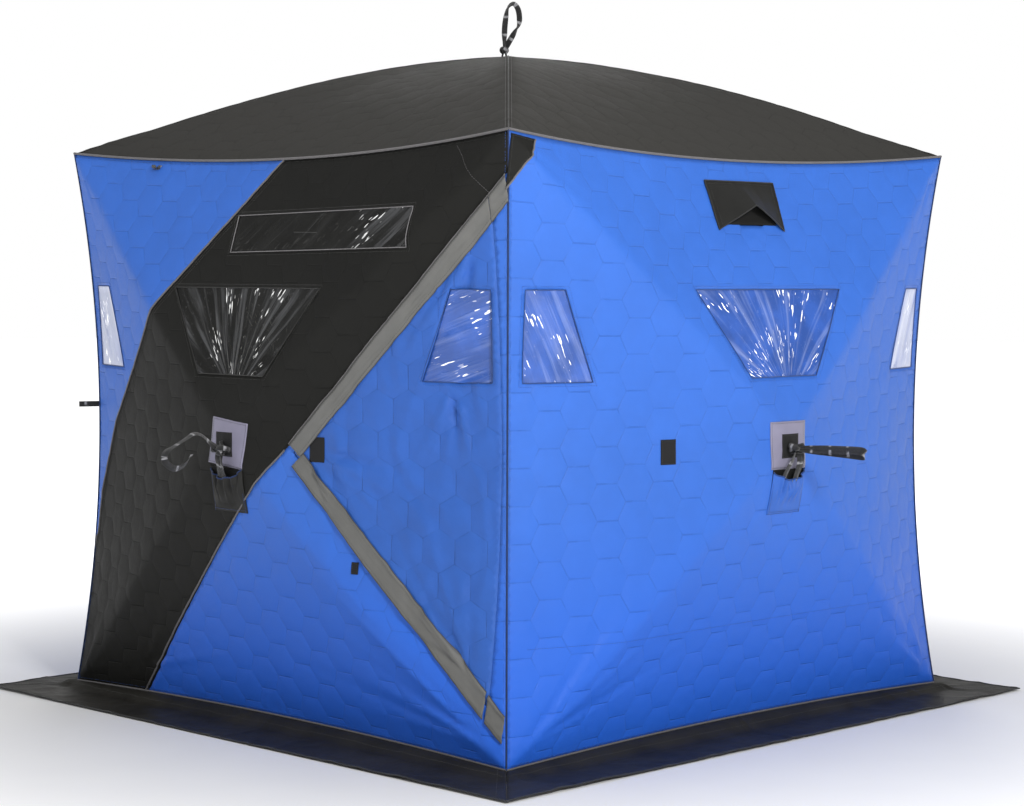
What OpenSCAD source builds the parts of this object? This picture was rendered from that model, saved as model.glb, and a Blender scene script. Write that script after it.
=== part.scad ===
// Pop-up hub shelter for ice fishing: four stitched cloth walls and a domed roof, held out by
// bowed rods that meet at five hubs. The door wall faces -Y, the ground is z = 0, and the
// middle of the floor is the origin. All sizes are in mm.

/* [Body] */
// Width of a wall from corner seam to corner seam
wall_w = 2250; // [1900:10:2700]
// Height of the eave corners
eave_z = 1976; // [1650:2:2400]
// Height of the roof's peak
peak_z = 2337; // [2100:1:2900]
// Height of the wall's hem at the corners
hem_z = 30; // [20:1:60]
// How far each wall hub is pushed out past the corners
hub_out = 200; // [120:5:280]
// Thickness of the quilted cloth
cloth_t = 4; // [3:0.5:8]

/* [Sag of the seams] */
// How far a corner seam draws in at mid height
seam_sag = 62; // [0:1:90]
// How far an eave draws in and down at its middle
eave_sag = 54; // [0:1:80]
// How far the hem draws in at its middle
hem_in = 20; // [0:1:40]
// How far the hem rises at its middle
hem_up = 18; // [0:1:40]

/* [Frame] */
// Diameter of the frame rods
rod_d = 11; // [8:0.5:14]
// Diameter of a hub plate
hub_d = 76; // [60:1:100]
// Diameter of a corner ball
ball_d = 44; // [36:1:52]

/* [Door] */
// Distance of the door's fold line from the middle of the wall
fold_u = 1045; // [900:5:1050]
// Height of the door's point
door_point_z = 964; // [900:2:1040]
// Distance of the door's point from the middle of the wall
door_point_u = 305; // [200:5:400]
// Height of the door's top at the fold line
door_top_z = 1740; // [1650:5:1760]
// Height of the door's foot at the fold line
door_low_z = 211; // [180:5:320]
// Width of the storm flaps over the zips
flap_w = 58; // [40:2:80]
// Gap on each side of the doorway's slanting lines
door_gap = 7; // [5:0.5:10]
// How far the moving flaps stop short of the fold line
fold_clear = 8; // [7:0.5:14]

/* [Windows] */
// Height of the lower edge of the wall windows
win_low_z = 1206; // [1150:2:1300]
// Height of the upper edge of the wall windows
win_top_z = 1494; // [1400:2:1540]

/* [Skirt] */
// Width of the snow skirt on the ground
skirt_w = 227; // [150:1:300]
// Thickness of the skirt cloth
skirt_t = 3; // [2:0.5:6]

/* [Hidden] */
gap = 0.3;
cells = 20;
half_w = wall_w / 2;
half_h = (eave_z - hem_z) / 2;
mid_z = (eave_z + hem_z) / 2;
roof_rise = peak_z - eave_z;
ball_in = 35;
blue = [0.16, 0.38, 0.82];
black = [0.13, 0.13, 0.13];
grey = [0.4, 0.4, 0.4];
mauve = [0.58, 0.56, 0.62];
clear = [0.75, 0.8, 0.85, 0.5];
silver = [0.7, 0.72, 0.75];

// ---- the curved panels ----
// s runs across a wall and t up it, both -1 to 1. The hub stands out in the middle, the
// rods make a ridge to each corner, and the seams draw in between the corners.
function wall_pt(s, t, n) =
    let (r = max(abs(s), abs(t)))
    let (m = r > 0 ? min(abs(s), abs(t)) / r : 0)
    let (across = abs(s) > abs(t))
    let (sag = across ? seam_sag : (t > 0 ? eave_sag : hem_in))
    let (rise = t > 0 ? -eave_sag : hem_up)
    [(half_w - gap / 2 + n) * s - seam_sag * sign(s) * s * s * (1 - t * t),
     (half_h - gap / 2) * t + n * max(t, 0) + rise * t * t * (1 - s * s),
     hub_out * (1 - pow(r, 1.45)) - sag * r * (1 - m * m) + n];

function roof_pt(s, t, n) =
    let (r = max(abs(s), abs(t)))
    let (m = r > 0 ? min(abs(s), abs(t)) / r : 0)
    [(half_w - gap / 2 + n) * s - eave_sag * sign(s) * s * s * (1 - t * t),
     (half_w - gap / 2 + n) * t - eave_sag * sign(t) * t * t * (1 - s * s),
     roof_rise * (1 - pow(r, 1.72)) - eave_sag * r * (1 - m * m) + n];

// How far out the wall's cloth stands at a place u across and z up.
function wall_out(u, z, s = 0, t = 0, left = 8) =
    left == 0 ? wall_pt(s, t, 0)[2]
    : let (v = z - mid_z)
      let (rise = v > 0 ? -eave_sag : hem_up)
      let (across = (u + seam_sag * sign(u) * s * s * (1 - t * t)) / half_w)
      let (up = (v - rise * t * t * (1 - s * s)) / half_h)
      wall_out(u, z, across, up, left - 1);

function grid_pt(roof, i, j, n) =
    roof ? roof_pt(2 * i / cells - 1, 2 * j / cells - 1, n)
         : wall_pt(2 * i / cells - 1, 2 * j / cells - 1, n);

// Cloth between the heights lo and hi over the panel's surface, for some of its cells.
module skin(lo, hi, roof = false, i0 = 0, i1 = cells, j0 = 0, j1 = cells) {
    w = j1 - j0 + 1;
    count = (i1 - i0 + 1) * w;
    points = [for (n = [hi, lo]) for (i = [i0:i1]) for (j = [j0:j1]) grid_pt(roof, i, j, n)];
    quads = [for (i = [i0:i1 - 1]) for (j = [j0:j1 - 1])
        let (a = (i - i0) * w + j - j0, b = a + w, c = b + 1, d = a + 1)
        let (same = (i + 0.5 - cells / 2) * (j + 0.5 - cells / 2) > 0)
        [a, b, c, d, same]];
    faces = [
        for (q = quads) for (f = q[4] ? [[q[0], q[2], q[1]], [q[0], q[3], q[2]]]
                                      : [[q[0], q[3], q[1]], [q[1], q[3], q[2]]]) f,
        for (q = quads) for (f = q[4] ? [[q[0], q[1], q[2]], [q[0], q[2], q[3]]]
                                      : [[q[0], q[1], q[3]], [q[1], q[2], q[3]]])
            [for (k = f) k + count],
        for (i = [0:i1 - i0 - 1]) let (a = i * w, b = a + w)
            for (f = [[a, b, b + count], [a, b + count, a + count]]) f,
        for (i = [0:i1 - i0 - 1]) let (a = i * w + w - 1, b = a + w)
            for (f = [[b, a, a + count], [b, a + count, b + count]]) f,
        for (j = [0:w - 2]) let (a = j, b = a + 1)
            for (f = [[b, a, a + count], [b, a + count, b + count]]) f,
        for (j = [0:w - 2]) let (a = count - w + j, b = a + 1)
            for (f = [[a, b, b + count], [a, b + count, a + count]]) f
    ];
    polyhedron(points = points, faces = faces, convexity = 10);
}

// Puts a panel's own frame (across, up, outward) on wall 0 front, 1 right, 2 back, 3 left.
module on_wall(side) {
    rotate([0, 0, 90 * side])
        translate([0, -half_w, mid_z])
            rotate([90, 0, 0])
                children();
}

module on_roof() {
    translate([0, 0, eave_z])
        children();
}

// A flat outline, with heights counted from the ground, cut straight through a wall panel.
module through(lo = -300, hi = 500) {
    translate([0, -mid_z, lo])
        linear_extrude(hi - lo)
            children();
}

// Cells that hold a stretch of the panel.
function cell_lo(x, half) = max(0, floor((x / half + 1) / 2 * cells) - 1);
function cell_hi(x, half) = min(cells, ceil((x / half + 1) / 2 * cells) + 1);

// Cloth of the outline's shape lying over a part of the panel.
module cloth_piece(lo, hi, u0, u1, z0, z1) {
    intersection() {
        skin(lo, hi, false, cell_lo(u0, half_w), cell_hi(u1, half_w),
            cell_lo(z0 - mid_z, half_h), cell_hi(z1 - mid_z, half_h));
        through()
            children();
    }
}

// ---- outlines on the walls ----
function window_mid(g) = [
    [-170 + g, win_low_z + g], [170 - g, win_low_z + g],
    [378 - 2 * g, win_top_z - g], [-378 + 2 * g, win_top_z - g]];

function window_side(g) = [
    [782 + 1.4 * g, win_low_z + g], [1018 - g, win_low_z + g],
    [1024 - g, win_top_z - g], [892 + g, win_top_z - g]];

function flip(points) = [for (p = points) [-p[0], p[1]]];

// The long clear strip under the eave of the door wall.
function window_lookout(g) = [
    [-138 + g, 1612 + g], [754 - g, 1624 + g], [752 - g, 1752 - g], [-142 + g, 1736 - g]];

// The doorway is a lying triangle: its point is by the hub and its long side is the fold line,
// which keeps only a small gap.
function doorway(g) = [
    [door_point_u - 1.42 * g, door_point_z],
    [fold_u + sign(g) * gap / 2, door_low_z - 1.45 * g],
    [fold_u + sign(g) * gap / 2, door_top_z + 1.45 * g]];

// The black sash runs slantwise over the door wall, from the near eave down to the far foot.
sash_edge = [
    [50, 1960], [-460, 1440], [-880, 1003], [-965, 850], [-1018, 740], [-1040, 600], [-1075, 530]];

module sash_2d(g = 0) {
    polygon(concat(
        [[60, 2200]],
        [for (p = sash_edge) [p[0] + g, p[1] - g]],
        [[-1300, 480], [-1300, -60], [-810 - 1.4 * g, -60], [288 - 1.4 * g, 990],
         [1208 - 1.4 * g, 1955], [1300, 2060], [1300, 2200]]));
}

// A band along the slanting edge of the doorway, on the flap's side of the line.
module flap_band(upper, g = 0) {
    u = door_point_u;
    z = door_point_z;
    du = fold_u - u;
    dz = (upper ? door_top_z : door_low_z) - z;
    long = sqrt(du * du + dz * dz);
    turn = atan2(dz, du);
    translate([u, z])
        rotate(turn)
            translate([-26 - g, -flap_w / 2 - g])
                square([long + 260, flap_w + 2 * g]);
}

module right_of(u, to) {
    translate([u, 0])
        square([to - u, 2200]);
}

// ---- walls ----
module plain_wall(side) {
    on_wall(side)
        difference() {
            skin(-cloth_t, 0);
            through()
                polygon(window_mid(0));
            through()
                polygon(window_side(0));
            through()
                polygon(flip(window_side(0)));
            through()
                vent_hole();
        }
}

module vent_hole() {
    translate([-62, 1705])
        square([124, 62]);
}

module front_wall() {
    color(blue)
        on_wall(0)
            difference() {
                skin(-cloth_t, 0);
                through()
                    sash_2d();
                through()
                    polygon(doorway(door_gap));
                through()
                    polygon(flip(window_side(0)));
            }
}

module front_sash() {
    color(black)
        on_wall(0)
            difference() {
                intersection() {
                    skin(-cloth_t, 0);
                    through()
                        sash_2d(gap);
                }
                through()
                    polygon(doorway(door_gap));
                through()
                    polygon(window_mid(0));
                through()
                    polygon(window_lookout(0));
            }
}

// The sash's end, turned round the corner onto the right wall.
module corner_patch() {
    color(black)
        on_wall(1)
            cloth_piece(gap, 2, -1300, -1000, 1800, 2000)
                polygon([[-1300, 2200], [-1300, 1835], [-1108, 1850], [-1060, 1900],
                    [-1016, 1957], [-1010, 2200]]);
}

module right_wall() {
    color(blue)
        plain_wall(1);
}

module back_wall() {
    color(blue)
        plain_wall(2);
}

module left_wall() {
    color(blue)
        plain_wall(3);
}

module roof_cover() {
    color(black)
        on_roof()
            skin(-cloth_t, 0, true);
}

// ---- clear windows ----
module pane(u0, u1, z0, z1) {
    cloth_piece(-cloth_t / 2 - 0.8, -cloth_t / 2 + 0.8, u0, u1, z0, z1)
        children();
}

module mid_pane() {
    pane(-400, 400, win_low_z, win_top_z)
        polygon(window_mid(gap));
}

module side_pane() {
    pane(770, 1040, win_low_z, win_top_z)
        polygon(window_side(gap));
}

module far_pane() {
    pane(-1040, -770, win_low_z, win_top_z)
        polygon(flip(window_side(gap)));
}

module wall_panes(side) {
    color(clear)
        on_wall(side) {
            mid_pane();
            side_pane();
            far_pane();
        }
}

module lookout_window() {
    color(clear)
        on_wall(0)
            pane(-160, 770, 1600, 1760)
                polygon(window_lookout(gap));
}

module front_windows() {
    color(clear)
        on_wall(0) {
            mid_pane();
            far_pane();
        }
}

module right_windows() {
    wall_panes(1);
}

module back_windows() {
    wall_panes(2);
}

module left_windows() {
    wall_panes(3);
}

// ---- vent hoods ----
// A stiff cloth hood: its top lies on the wall and its lower edge is pushed out in the middle.
module hood(side) {
    top = wall_out(0, 1853);
    low = wall_out(165, 1690);
    points = [
        for (n = [0, -2]) for (p = [
            [-175, 1853, top + 4.4], [0, 1853, top + 3.6], [175, 1853, top + 4.4],
            [-165, 1690, low + 4.2], [0, 1772, low + 48], [165, 1690, low + 4.2]])
            [p[0], p[1] - mid_z, p[2] + n]];
    color(black)
        on_wall(side)
            polyhedron(points = points, faces = [
                [0, 1, 3], [1, 4, 3], [1, 2, 4], [2, 5, 4],
                [6, 9, 7], [7, 9, 10], [7, 10, 8], [8, 10, 11],
                [0, 6, 7, 1], [1, 7, 8, 2], [2, 8, 11, 5], [5, 11, 10, 4],
                [4, 10, 9, 3], [3, 9, 6, 0]]);
}

module right_vent() {
    hood(1);
}

module back_vent() {
    hood(2);
}

module left_vent() {
    hood(3);
}

// ---- hub fittings on the walls ----
module patch_2d(side) {
    difference() {
        polygon(side == 0 ? [[-88, 914], [86, 896], [113, 1050], [-60, 1068]]
                          : [[-90, 902], [88, 900], [84, 1060], [-97, 1060]]);
        slot_2d();
    }
}

module slot_2d(g = 0) {
    translate([-42 + g, 938 + g])
        square([84 - 2 * g, 80 - 2 * g]);
}

module hub_patches() {
    color(mauve)
        for (side = [0:3])
            on_wall(side)
                cloth_piece(gap, 1.6, -110, 120, 896, 1070)
                    patch_2d(side);
}

module slot_patches() {
    color(black)
        for (side = [0:3])
            on_wall(side)
                cloth_piece(gap, 1.3, -60, 60, 938, 1018)
                    slot_2d(gap);
}

// A cloth pocket under each hub, open at its top, that takes the end of the strap.
module hub_pockets() {
    color(blue)
        for (side = [0:3])
            on_wall(side)
                pocket();
}

module pocket() {
    high = wall_out(0, 893);
    low = wall_out(0, 757);
    lean = atan2(high - low, 136);
    translate([0, 757 - mid_z, low + 1.6])
        rotate([lean, 0, 0])
            difference() {
                pocket_wedge(86, 0, 4, 24);
                pocket_wedge(83.5, 4, 0.5, 21.5);
            }
}

module pocket_wedge(half, up, thin, deep) {
    translate([-half, 0, 0])
        rotate([90, 0, 90])
            linear_extrude(2 * half)
                polygon([[up, up > 0 ? -1 : 0], [139 + up, up > 0 ? -1 : 0], [139 + up, deep],
                    [up, thin]]);
}

// Pull straps: flat webbing fixed at the hub, knotted, with its doubled end standing out.
module pull_straps() {
    color(black)
        for (side = [0:3])
            on_wall(side)
                translate([0, 975 - mid_z, wall_out(0, 975) - 0.3])
                    strap_run(side == 0 ? -1 : 1);
}

module strap_run(way) {
    webbing([0, 0, 3], [8 * way, -12, 56], 4, 25);
    translate([10 * way, -15, 74])
        sphere(d = 36, $fn = 48);
    webbing([12 * way, -16, 92.6], [30 * way, -30, 270], 4, 25);
}

// A flat strap from one point to another, its width upright.
module webbing(from, to, thick, wide) {
    d = to - from;
    flat = norm([d[0], d[1]]);
    translate(from)
        rotate([0, atan2(d[0], d[2]), 0])
            rotate([-atan2(d[1], norm([d[0], d[2]])), 0, 0])
                translate([-thick / 2, -wide / 2, 0])
                    cube([thick, wide, norm(d)]);
}

// Black hook-and-loop tabs that hold rolled covers.
module tab_2d(u) {
    translate([u - 28, 938])
        square([56, 80]);
}

module wall_tabs() {
    color(black)
        for (side = [1:3])
            on_wall(side)
                cloth_piece(gap, 2, -570, -500, 938, 1018)
                    tab_2d(-534);
}

// A short loop of webbing at the hidden wall's front corner.
module corner_strap() {
    color(black)
        on_wall(3)
            translate([1040, 1058 - mid_z, wall_out(1040, 1058) + gap + 0.8])
                rotate([0, 45, 0])
                    translate([-3, -10, 0])
                        cube([3, 20, 92]);
}

// ---- roof strap ----
module roof_strap() {
    color(black)
        translate([0, 0, peak_z + gap]) {
            cylinder(d = 26, h = 4, $fn = 48);
            translate([0, 0, 4 + gap + 18])
                sphere(d = 36, $fn = 48);
            translate([0, 0, 22 + 18 + 2 * gap])
                strap_loop();
        }
}

// The hanging loop: a closed ring of webbing, narrow below and round above.
module strap_loop() {
    rotate([90, 0, 45])
        translate([0, 0, -12])
            linear_extrude(24)
                difference() {
                    union() {
                        translate([0, 128])
                            circle(r = 26, $fn = 64);
                        polygon([[-5, 0], [5, 0], [26, 128], [-26, 128]]);
                    }
                    translate([0, 128])
                        circle(r = 23, $fn = 64);
                    polygon([[-2.4, 4], [2.4, 4], [23, 128], [-23, 128]]);
                }
}

// ---- snow skirt ----
// One side of the skirt: from the hem it falls to the ground and lies out flat.
module skirt(side) {
    steps = cells;
    rows = [0, 0.3, 1];
    w = len(rows);
    count = (steps + 1) * w;
    points = [for (top = [1, 0]) for (i = [0:steps]) for (k = [0:w - 1])
        let (s = 2 * i / steps - 1)
        let (hem = hem_in * (1 - s * s))
        let (lift = k == 0 ? hem_z + hem_up * (1 - s * s) - gap - skirt_t : 0)
        let (out = k == 0 ? -hem - cloth_t : skirt_w * rows[k])
        [(half_w + (k == 0 ? -cloth_t : out) - gap) * s, -half_w - out, lift + skirt_t * top]];
    quads = [for (i = [0:steps - 1]) for (k = [0:w - 2]) let (a = i * w + k)
        [a, a + w, a + w + 1, a + 1]];
    faces = [
        for (q = quads) for (f = [[q[0], q[1], q[2]], [q[0], q[2], q[3]]]) f,
        for (q = quads) for (f = [[q[0], q[2], q[1]], [q[0], q[3], q[2]]])
            [for (k = f) k + count],
        for (i = [0:steps - 1]) let (a = i * w, b = a + w)
            for (f = [[b, a, a + count], [b, a + count, b + count]]) f,
        for (i = [0:steps - 1]) let (a = i * w + w - 1, b = a + w)
            for (f = [[a, b, b + count], [a, b + count, a + count]]) f,
        for (k = [0:w - 2]) for (f = [[k, k + 1, k + 1 + count], [k, k + 1 + count, k + count]]) f,
        for (k = [0:w - 2]) let (a = count - w + k)
            for (f = [[a + 1, a, a + count], [a + 1, a + count, a + 1 + count]]) f
    ];
    color(black)
        rotate([0, 0, 90 * side])
            polyhedron(points = points, faces = faces);
}

module front_skirt() {
    skirt(0);
}

module right_skirt() {
    skirt(1);
}

module back_skirt() {
    skirt(2);
}

module left_skirt() {
    skirt(3);
}

// ---- frame ----
// A bowed rod in the plane of a diagonal, from the hub's rim to the corner ball.
module rod(diagonal, high, drop, bow) {
    ax = hub_d / 2 + 13 + gap;
    bx = diagonal;
    chord = norm([bx - ax, high + drop]);
    tip = atan2(-drop - high, bx - ax);
    radius = (chord * chord / 4 + bow * bow) / (2 * bow);
    sweep = 2 * asin(chord / 2 / radius);
    short = (ball_d / 2 + gap) / radius * 180 / PI;
    translate([ax, 0, high])
        rotate([0, -tip, 0])
            translate([chord / 2, 0, bow - radius])
                rotate([90, 0, 0])
                    rotate([0, 0, 90 - sweep / 2 + short])
                        rotate_extrude(angle = sweep - short, $fn = 180)
                            translate([radius, 0])
                                circle(d = rod_d, $fn = 32);
}

ball_u = half_w - ball_in;
ball_v = half_h - 28;
wall_turn = atan2(ball_v, ball_u);
wall_diagonal = norm([ball_u, ball_v]);
wall_hub_n = hub_out - cloth_t - 16;
roof_hub_n = roof_rise - cloth_t - 16;

module wall_rods(side) {
    color(silver)
        on_wall(side)
            for (turn = [wall_turn, 180 - wall_turn, 180 + wall_turn, -wall_turn])
                rotate([0, 0, turn])
                    rod(wall_diagonal, wall_hub_n, ball_in, 26);
}

module front_rods() {
    wall_rods(0);
}

module right_rods() {
    wall_rods(1);
}

module back_rods() {
    wall_rods(2);
}

module left_rods() {
    wall_rods(3);
}

module roof_rods() {
    color(silver)
        on_roof()
            for (turn = [45, 135, 225, 315])
                rotate([0, 0, turn])
                    rod(norm([ball_u, ball_u]), roof_hub_n, 28, 68);
}

// A hub: a round plate with four sockets and the bolt that carries the strap.
module hub_body(turns, n) {
    color(black)
        translate([0, 0, n]) {
            translate([0, 0, -12])
                cylinder(d = hub_d, h = 22, $fn = 64);
            translate([0, 0, 9])
                cylinder(d = 16, h = 5.7, $fn = 32);
            for (turn = turns)
                rotate([0, 90, turn])
                    cylinder(d = 19, h = hub_d / 2 + 13, $fn = 32);
        }
}

module wall_hub(side) {
    on_wall(side)
        hub_body([wall_turn, 180 - wall_turn, 180 + wall_turn, -wall_turn], wall_hub_n);
}

module front_hub() {
    wall_hub(0);
}

module right_hub() {
    wall_hub(1);
}

module back_hub() {
    wall_hub(2);
}

module left_hub() {
    wall_hub(3);
}

module roof_hub() {
    on_roof()
        hub_body([45, 135, 225, 315], roof_hub_n);
}

module corner_balls(z) {
    color(black)
        for (turn = [0, 90, 180, 270])
            rotate([0, 0, turn])
                translate([ball_u, -ball_u, z])
                    sphere(d = ball_d, $fn = 48);
}

module eave_corners() {
    corner_balls(eave_z - 28);
}

module foot_corners() {
    corner_balls(hem_z + 28);
}

// ---- door ----
module door_panel() {
    color(blue)
        on_wall(0)
            difference() {
                intersection() {
                    skin(-cloth_t, 0, false, cells / 2, cells, 0, cells);
                    through()
                        polygon(doorway(-door_gap));
                }
                through()
                    polygon(window_side(0));
            }
}

module door_window() {
    color(clear)
        on_wall(0)
            side_pane();
}

// The lower flap stops at the upper one.
module flap_2d(upper) {
    difference() {
        flap_band(upper);
        if (!upper)
            flap_band(true, 1);
    }
}

// A length of flap between two heights over the cloth.
module flap(upper, lo, hi, u0, u1) {
    color(grey)
        on_wall(0)
            cloth_piece(lo, hi, u0, u1, upper ? 900 : 40, upper ? 1960 : 1000)
                intersection() {
                    flap_2d(upper);
                    children();
                }
}

// A flap stands clear of the fixed wall, and a narrower welt joins it to the door.
module door_flap(upper) {
    flap(upper, 5.3, 7.6, 250, fold_u)
        right_of(250, fold_u - fold_clear);
    flap(upper, gap, 5, 250, fold_u)
        intersection() {
            polygon(doorway(-door_gap - 1.5));
            right_of(250, fold_u - fold_clear);
        }
}

module upper_flap() {
    door_flap(true);
}

module lower_flap() {
    door_flap(false);
}

module flap_ends() {
    for (upper = [true, false]) {
        flap(upper, 5.3, 7.6, fold_u, 1122)
            right_of(fold_u + gap / 2, 1120);
        flap(upper, gap, 5, fold_u, 1122)
            right_of(fold_u + gap / 2, 1110);
    }
}

module door_tab() {
    color(black)
        on_wall(0)
            cloth_piece(gap, 2, 390, 450, 938, 1018)
                difference() {
                    tab_2d(419);
                    flap_band(true, 1);
                }
}

front_wall();
front_sash();
corner_patch();
right_wall();
back_wall();
left_wall();
roof_cover();
lookout_window();
front_windows();
right_windows();
back_windows();
left_windows();
right_vent();
back_vent();
left_vent();
hub_patches();
slot_patches();
hub_pockets();
pull_straps();
wall_tabs();
flap_ends();
corner_strap();
roof_strap();
front_skirt();
right_skirt();
back_skirt();
left_skirt();
front_rods();
right_rods();
back_rods();
left_rods();
roof_rods();
front_hub();
right_hub();
back_hub();
left_hub();
roof_hub();
eave_corners();
foot_corners();
door_panel();
door_window();
upper_flap();
lower_flap();
door_tab();
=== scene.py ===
"""Pop-up hub shelter for ice fishing: its quilted cloth, clear sheet, webbing and stitching."""
import math

import bpy
import numpy as np
from mathutils import Matrix, Vector
from mathutils.geometry import delaunay_2d_cdt


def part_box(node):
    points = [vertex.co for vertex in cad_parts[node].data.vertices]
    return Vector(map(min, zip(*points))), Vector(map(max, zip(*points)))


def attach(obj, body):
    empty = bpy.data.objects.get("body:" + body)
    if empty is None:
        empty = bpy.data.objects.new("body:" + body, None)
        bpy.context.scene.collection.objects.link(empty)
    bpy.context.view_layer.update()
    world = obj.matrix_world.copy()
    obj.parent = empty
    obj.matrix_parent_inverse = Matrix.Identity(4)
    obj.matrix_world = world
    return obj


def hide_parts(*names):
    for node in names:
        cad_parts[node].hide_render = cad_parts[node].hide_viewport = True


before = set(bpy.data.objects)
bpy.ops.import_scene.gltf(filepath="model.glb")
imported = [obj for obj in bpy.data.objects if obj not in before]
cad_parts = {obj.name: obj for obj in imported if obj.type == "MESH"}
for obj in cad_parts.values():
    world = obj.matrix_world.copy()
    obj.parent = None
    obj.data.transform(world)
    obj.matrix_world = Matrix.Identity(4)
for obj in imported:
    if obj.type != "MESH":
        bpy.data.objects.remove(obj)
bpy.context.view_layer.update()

bl_info = {
    "name": "Pop-up hub shelter",
    "version": (1, 0, 0),
    "blender": (4, 5, 0),
    "location": "3D View > Sidebar > Shelter",
    "description": "Makes a pop-up hub shelter's cloth, windows, webbing and frame finishes",
    "category": "Add Mesh",
}

WALL_LOW, WALL_HIGH = (np.array(corner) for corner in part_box("right_wall"))
HALF_W = float(WALL_HIGH[1])
HUB_OUT = float(WALL_HIGH[0]) - HALF_W
EAVE_Z, HEM_Z = float(WALL_HIGH[2]), float(WALL_LOW[2])
HALF_H, MID_Z = (EAVE_Z - HEM_Z) / 2, (EAVE_Z + HEM_Z) / 2
ROOF_RISE = float(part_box("roof_cover")[1][2]) - EAVE_Z
SKIRT_REACH = float(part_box("right_skirt")[1][0])
WIN_LOW, WIN_TOP = (float(corner[2]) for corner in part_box("right_windows"))
SEAM_SAG, EAVE_SAG, HEM_IN, HEM_UP = 0.062, 0.054, 0.020, 0.018
CLOTH_T = 0.004
SIDES = ("front", "right", "back", "left")

# Outlines on the walls: metres across from the middle, and height from the ground.
MID_WINDOW = [(-0.170, WIN_LOW), (0.170, WIN_LOW), (0.378, WIN_TOP), (-0.378, WIN_TOP)]
NEAR_WINDOW = [(0.782, WIN_LOW), (1.018, WIN_LOW), (1.024, WIN_TOP), (0.892, WIN_TOP)]
FAR_WINDOW = [(-u, z) for u, z in NEAR_WINDOW]
LOOKOUT = [(-0.138, 1.612), (0.754, 1.624), (0.752, 1.752), (-0.142, 1.736)]
VENT_HOLE = [(-0.062, 1.705), (0.062, 1.705), (0.062, 1.767), (-0.062, 1.767)]
SASH_FAR = [(0.050, 1.960), (-0.460, 1.440), (-0.880, 1.003), (-0.965, 0.850),
            (-1.018, 0.740), (-1.040, 0.600), (-1.075, 0.530), (-1.130, 0.500)]
SASH_NEAR = [(-0.737, 0.010), (0.288, 0.990), (1.208, 1.955)]
DOOR_POINT, FOLD_U, DOOR_TOP_Z, DOOR_LOW_Z = (0.305, 0.964), 1.045, 1.740, 0.211
DOOR_GAP = 0.0015
FLAP_W = 0.058
HUB_CALM = 0.15


def doorway(gap):
    """The doorway's lying triangle, grown by a gap across its two slanting lines."""
    return [(DOOR_POINT[0] - 1.42 * gap, DOOR_POINT[1]), (FOLD_U, DOOR_LOW_Z - 1.45 * gap),
            (FOLD_U, DOOR_TOP_Z + 1.45 * gap)]


# ---------------------------------------------------------------- surfaces
def smooth(x):
    """A step from 0 to 1 with level ends."""
    x = np.clip(x, 0, 1)
    return x * x * (3 - 2 * x)


def fold_back(x, half):
    """Distance from x to the nearest multiple of twice half."""
    return np.abs(x - 2 * half * np.round(x / (2 * half)))


def ridge_radius(s, t):
    """The larger of |s| and |t|, rounded over near the ridge, and the smaller as a share of it."""
    a, b = np.abs(s), np.abs(t)
    big = np.maximum(a, b)
    soft = 0.035 * np.clip((1 - big) * 6, 0, 1)
    r = (a + b + np.hypot(a - b, soft)) / 2
    return r, np.minimum(np.minimum(a, b) / np.maximum(r, 1e-9), 1)


def wall_point(s, t, n):
    """Across, up and out on a wall. The hub stands out in the middle and falls away as a
    power of the larger of |s| and |t|, and each edge draws in by its sag between its corners."""
    r, m = ridge_radius(s, t)
    sag = np.where(np.abs(s) > np.abs(t), SEAM_SAG, np.where(t > 0, EAVE_SAG, HEM_IN))
    rise = np.where(t > 0, -EAVE_SAG, HEM_UP)
    across = (HALF_W + n) * s - SEAM_SAG * np.sign(s) * s * s * (1 - t * t)
    up = HALF_H * t + n * np.maximum(t, 0) + rise * t * t * (1 - s * s)
    return across, up, HUB_OUT * (1 - r ** 1.45) - sag * r * (1 - m * m) + n


def roof_point(s, t, n):
    """Across, along and up on the roof: the same form as a wall, with a rounder dome."""
    r, m = ridge_radius(s, t)
    x = (HALF_W + n) * s - EAVE_SAG * np.sign(s) * s * s * (1 - t * t)
    y = (HALF_W + n) * t - EAVE_SAG * np.sign(t) * t * t * (1 - s * s)
    return x, y, ROOF_RISE * (1 - r ** 1.72) - EAVE_SAG * r * (1 - m * m) + n


def wall_place(u, z):
    """s and t of a place u across and z high, found by correcting a first guess."""
    u, v = np.asarray(u, float), np.asarray(z, float) - MID_Z
    rise = np.where(v > 0, -EAVE_SAG, HEM_UP)
    s, t = u / HALF_W, v / HALF_H
    for _ in range(16):
        s = (u + SEAM_SAG * np.sign(u) * s * s * (1 - t * t)) / HALF_W
        t = (v - rise * t * t * (1 - s * s)) / HALF_H
    return s, t


def set_on_wall(side, across, up, out):
    """Turns a wall's own across, up and out into x, y and z."""
    x, y = across, -(HALF_W + out)
    for _ in range(side):
        x, y = -y, x
    return np.stack([x, y, MID_Z + up + 0 * x], -1)


# ---------------------------------------------------------------- relief of the cloth
def soft_noise(x, y, seed):
    """Smooth random heights from -1 to 1: random values on a unit lattice, joined by steps."""
    lattice = np.random.default_rng(seed).uniform(-1, 1, (64, 64))
    i, j = np.floor(x).astype(int), np.floor(y).astype(int)
    fx, fy = smooth(x - i), smooth(y - j)
    i, j, k, l = i % 64, j % 64, (i + 1) % 64, (j + 1) % 64
    low = lattice[i, j] * (1 - fx) + lattice[k, j] * fx
    high = lattice[i, l] * (1 - fx) + lattice[k, l] * fx
    return low * (1 - fy) + high * fy


QUILT_W, QUILT_H, QUILT_TIP = 0.108, 0.117, 0.070
QUILT_NORMAL = (0.877, 0.480)


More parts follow.
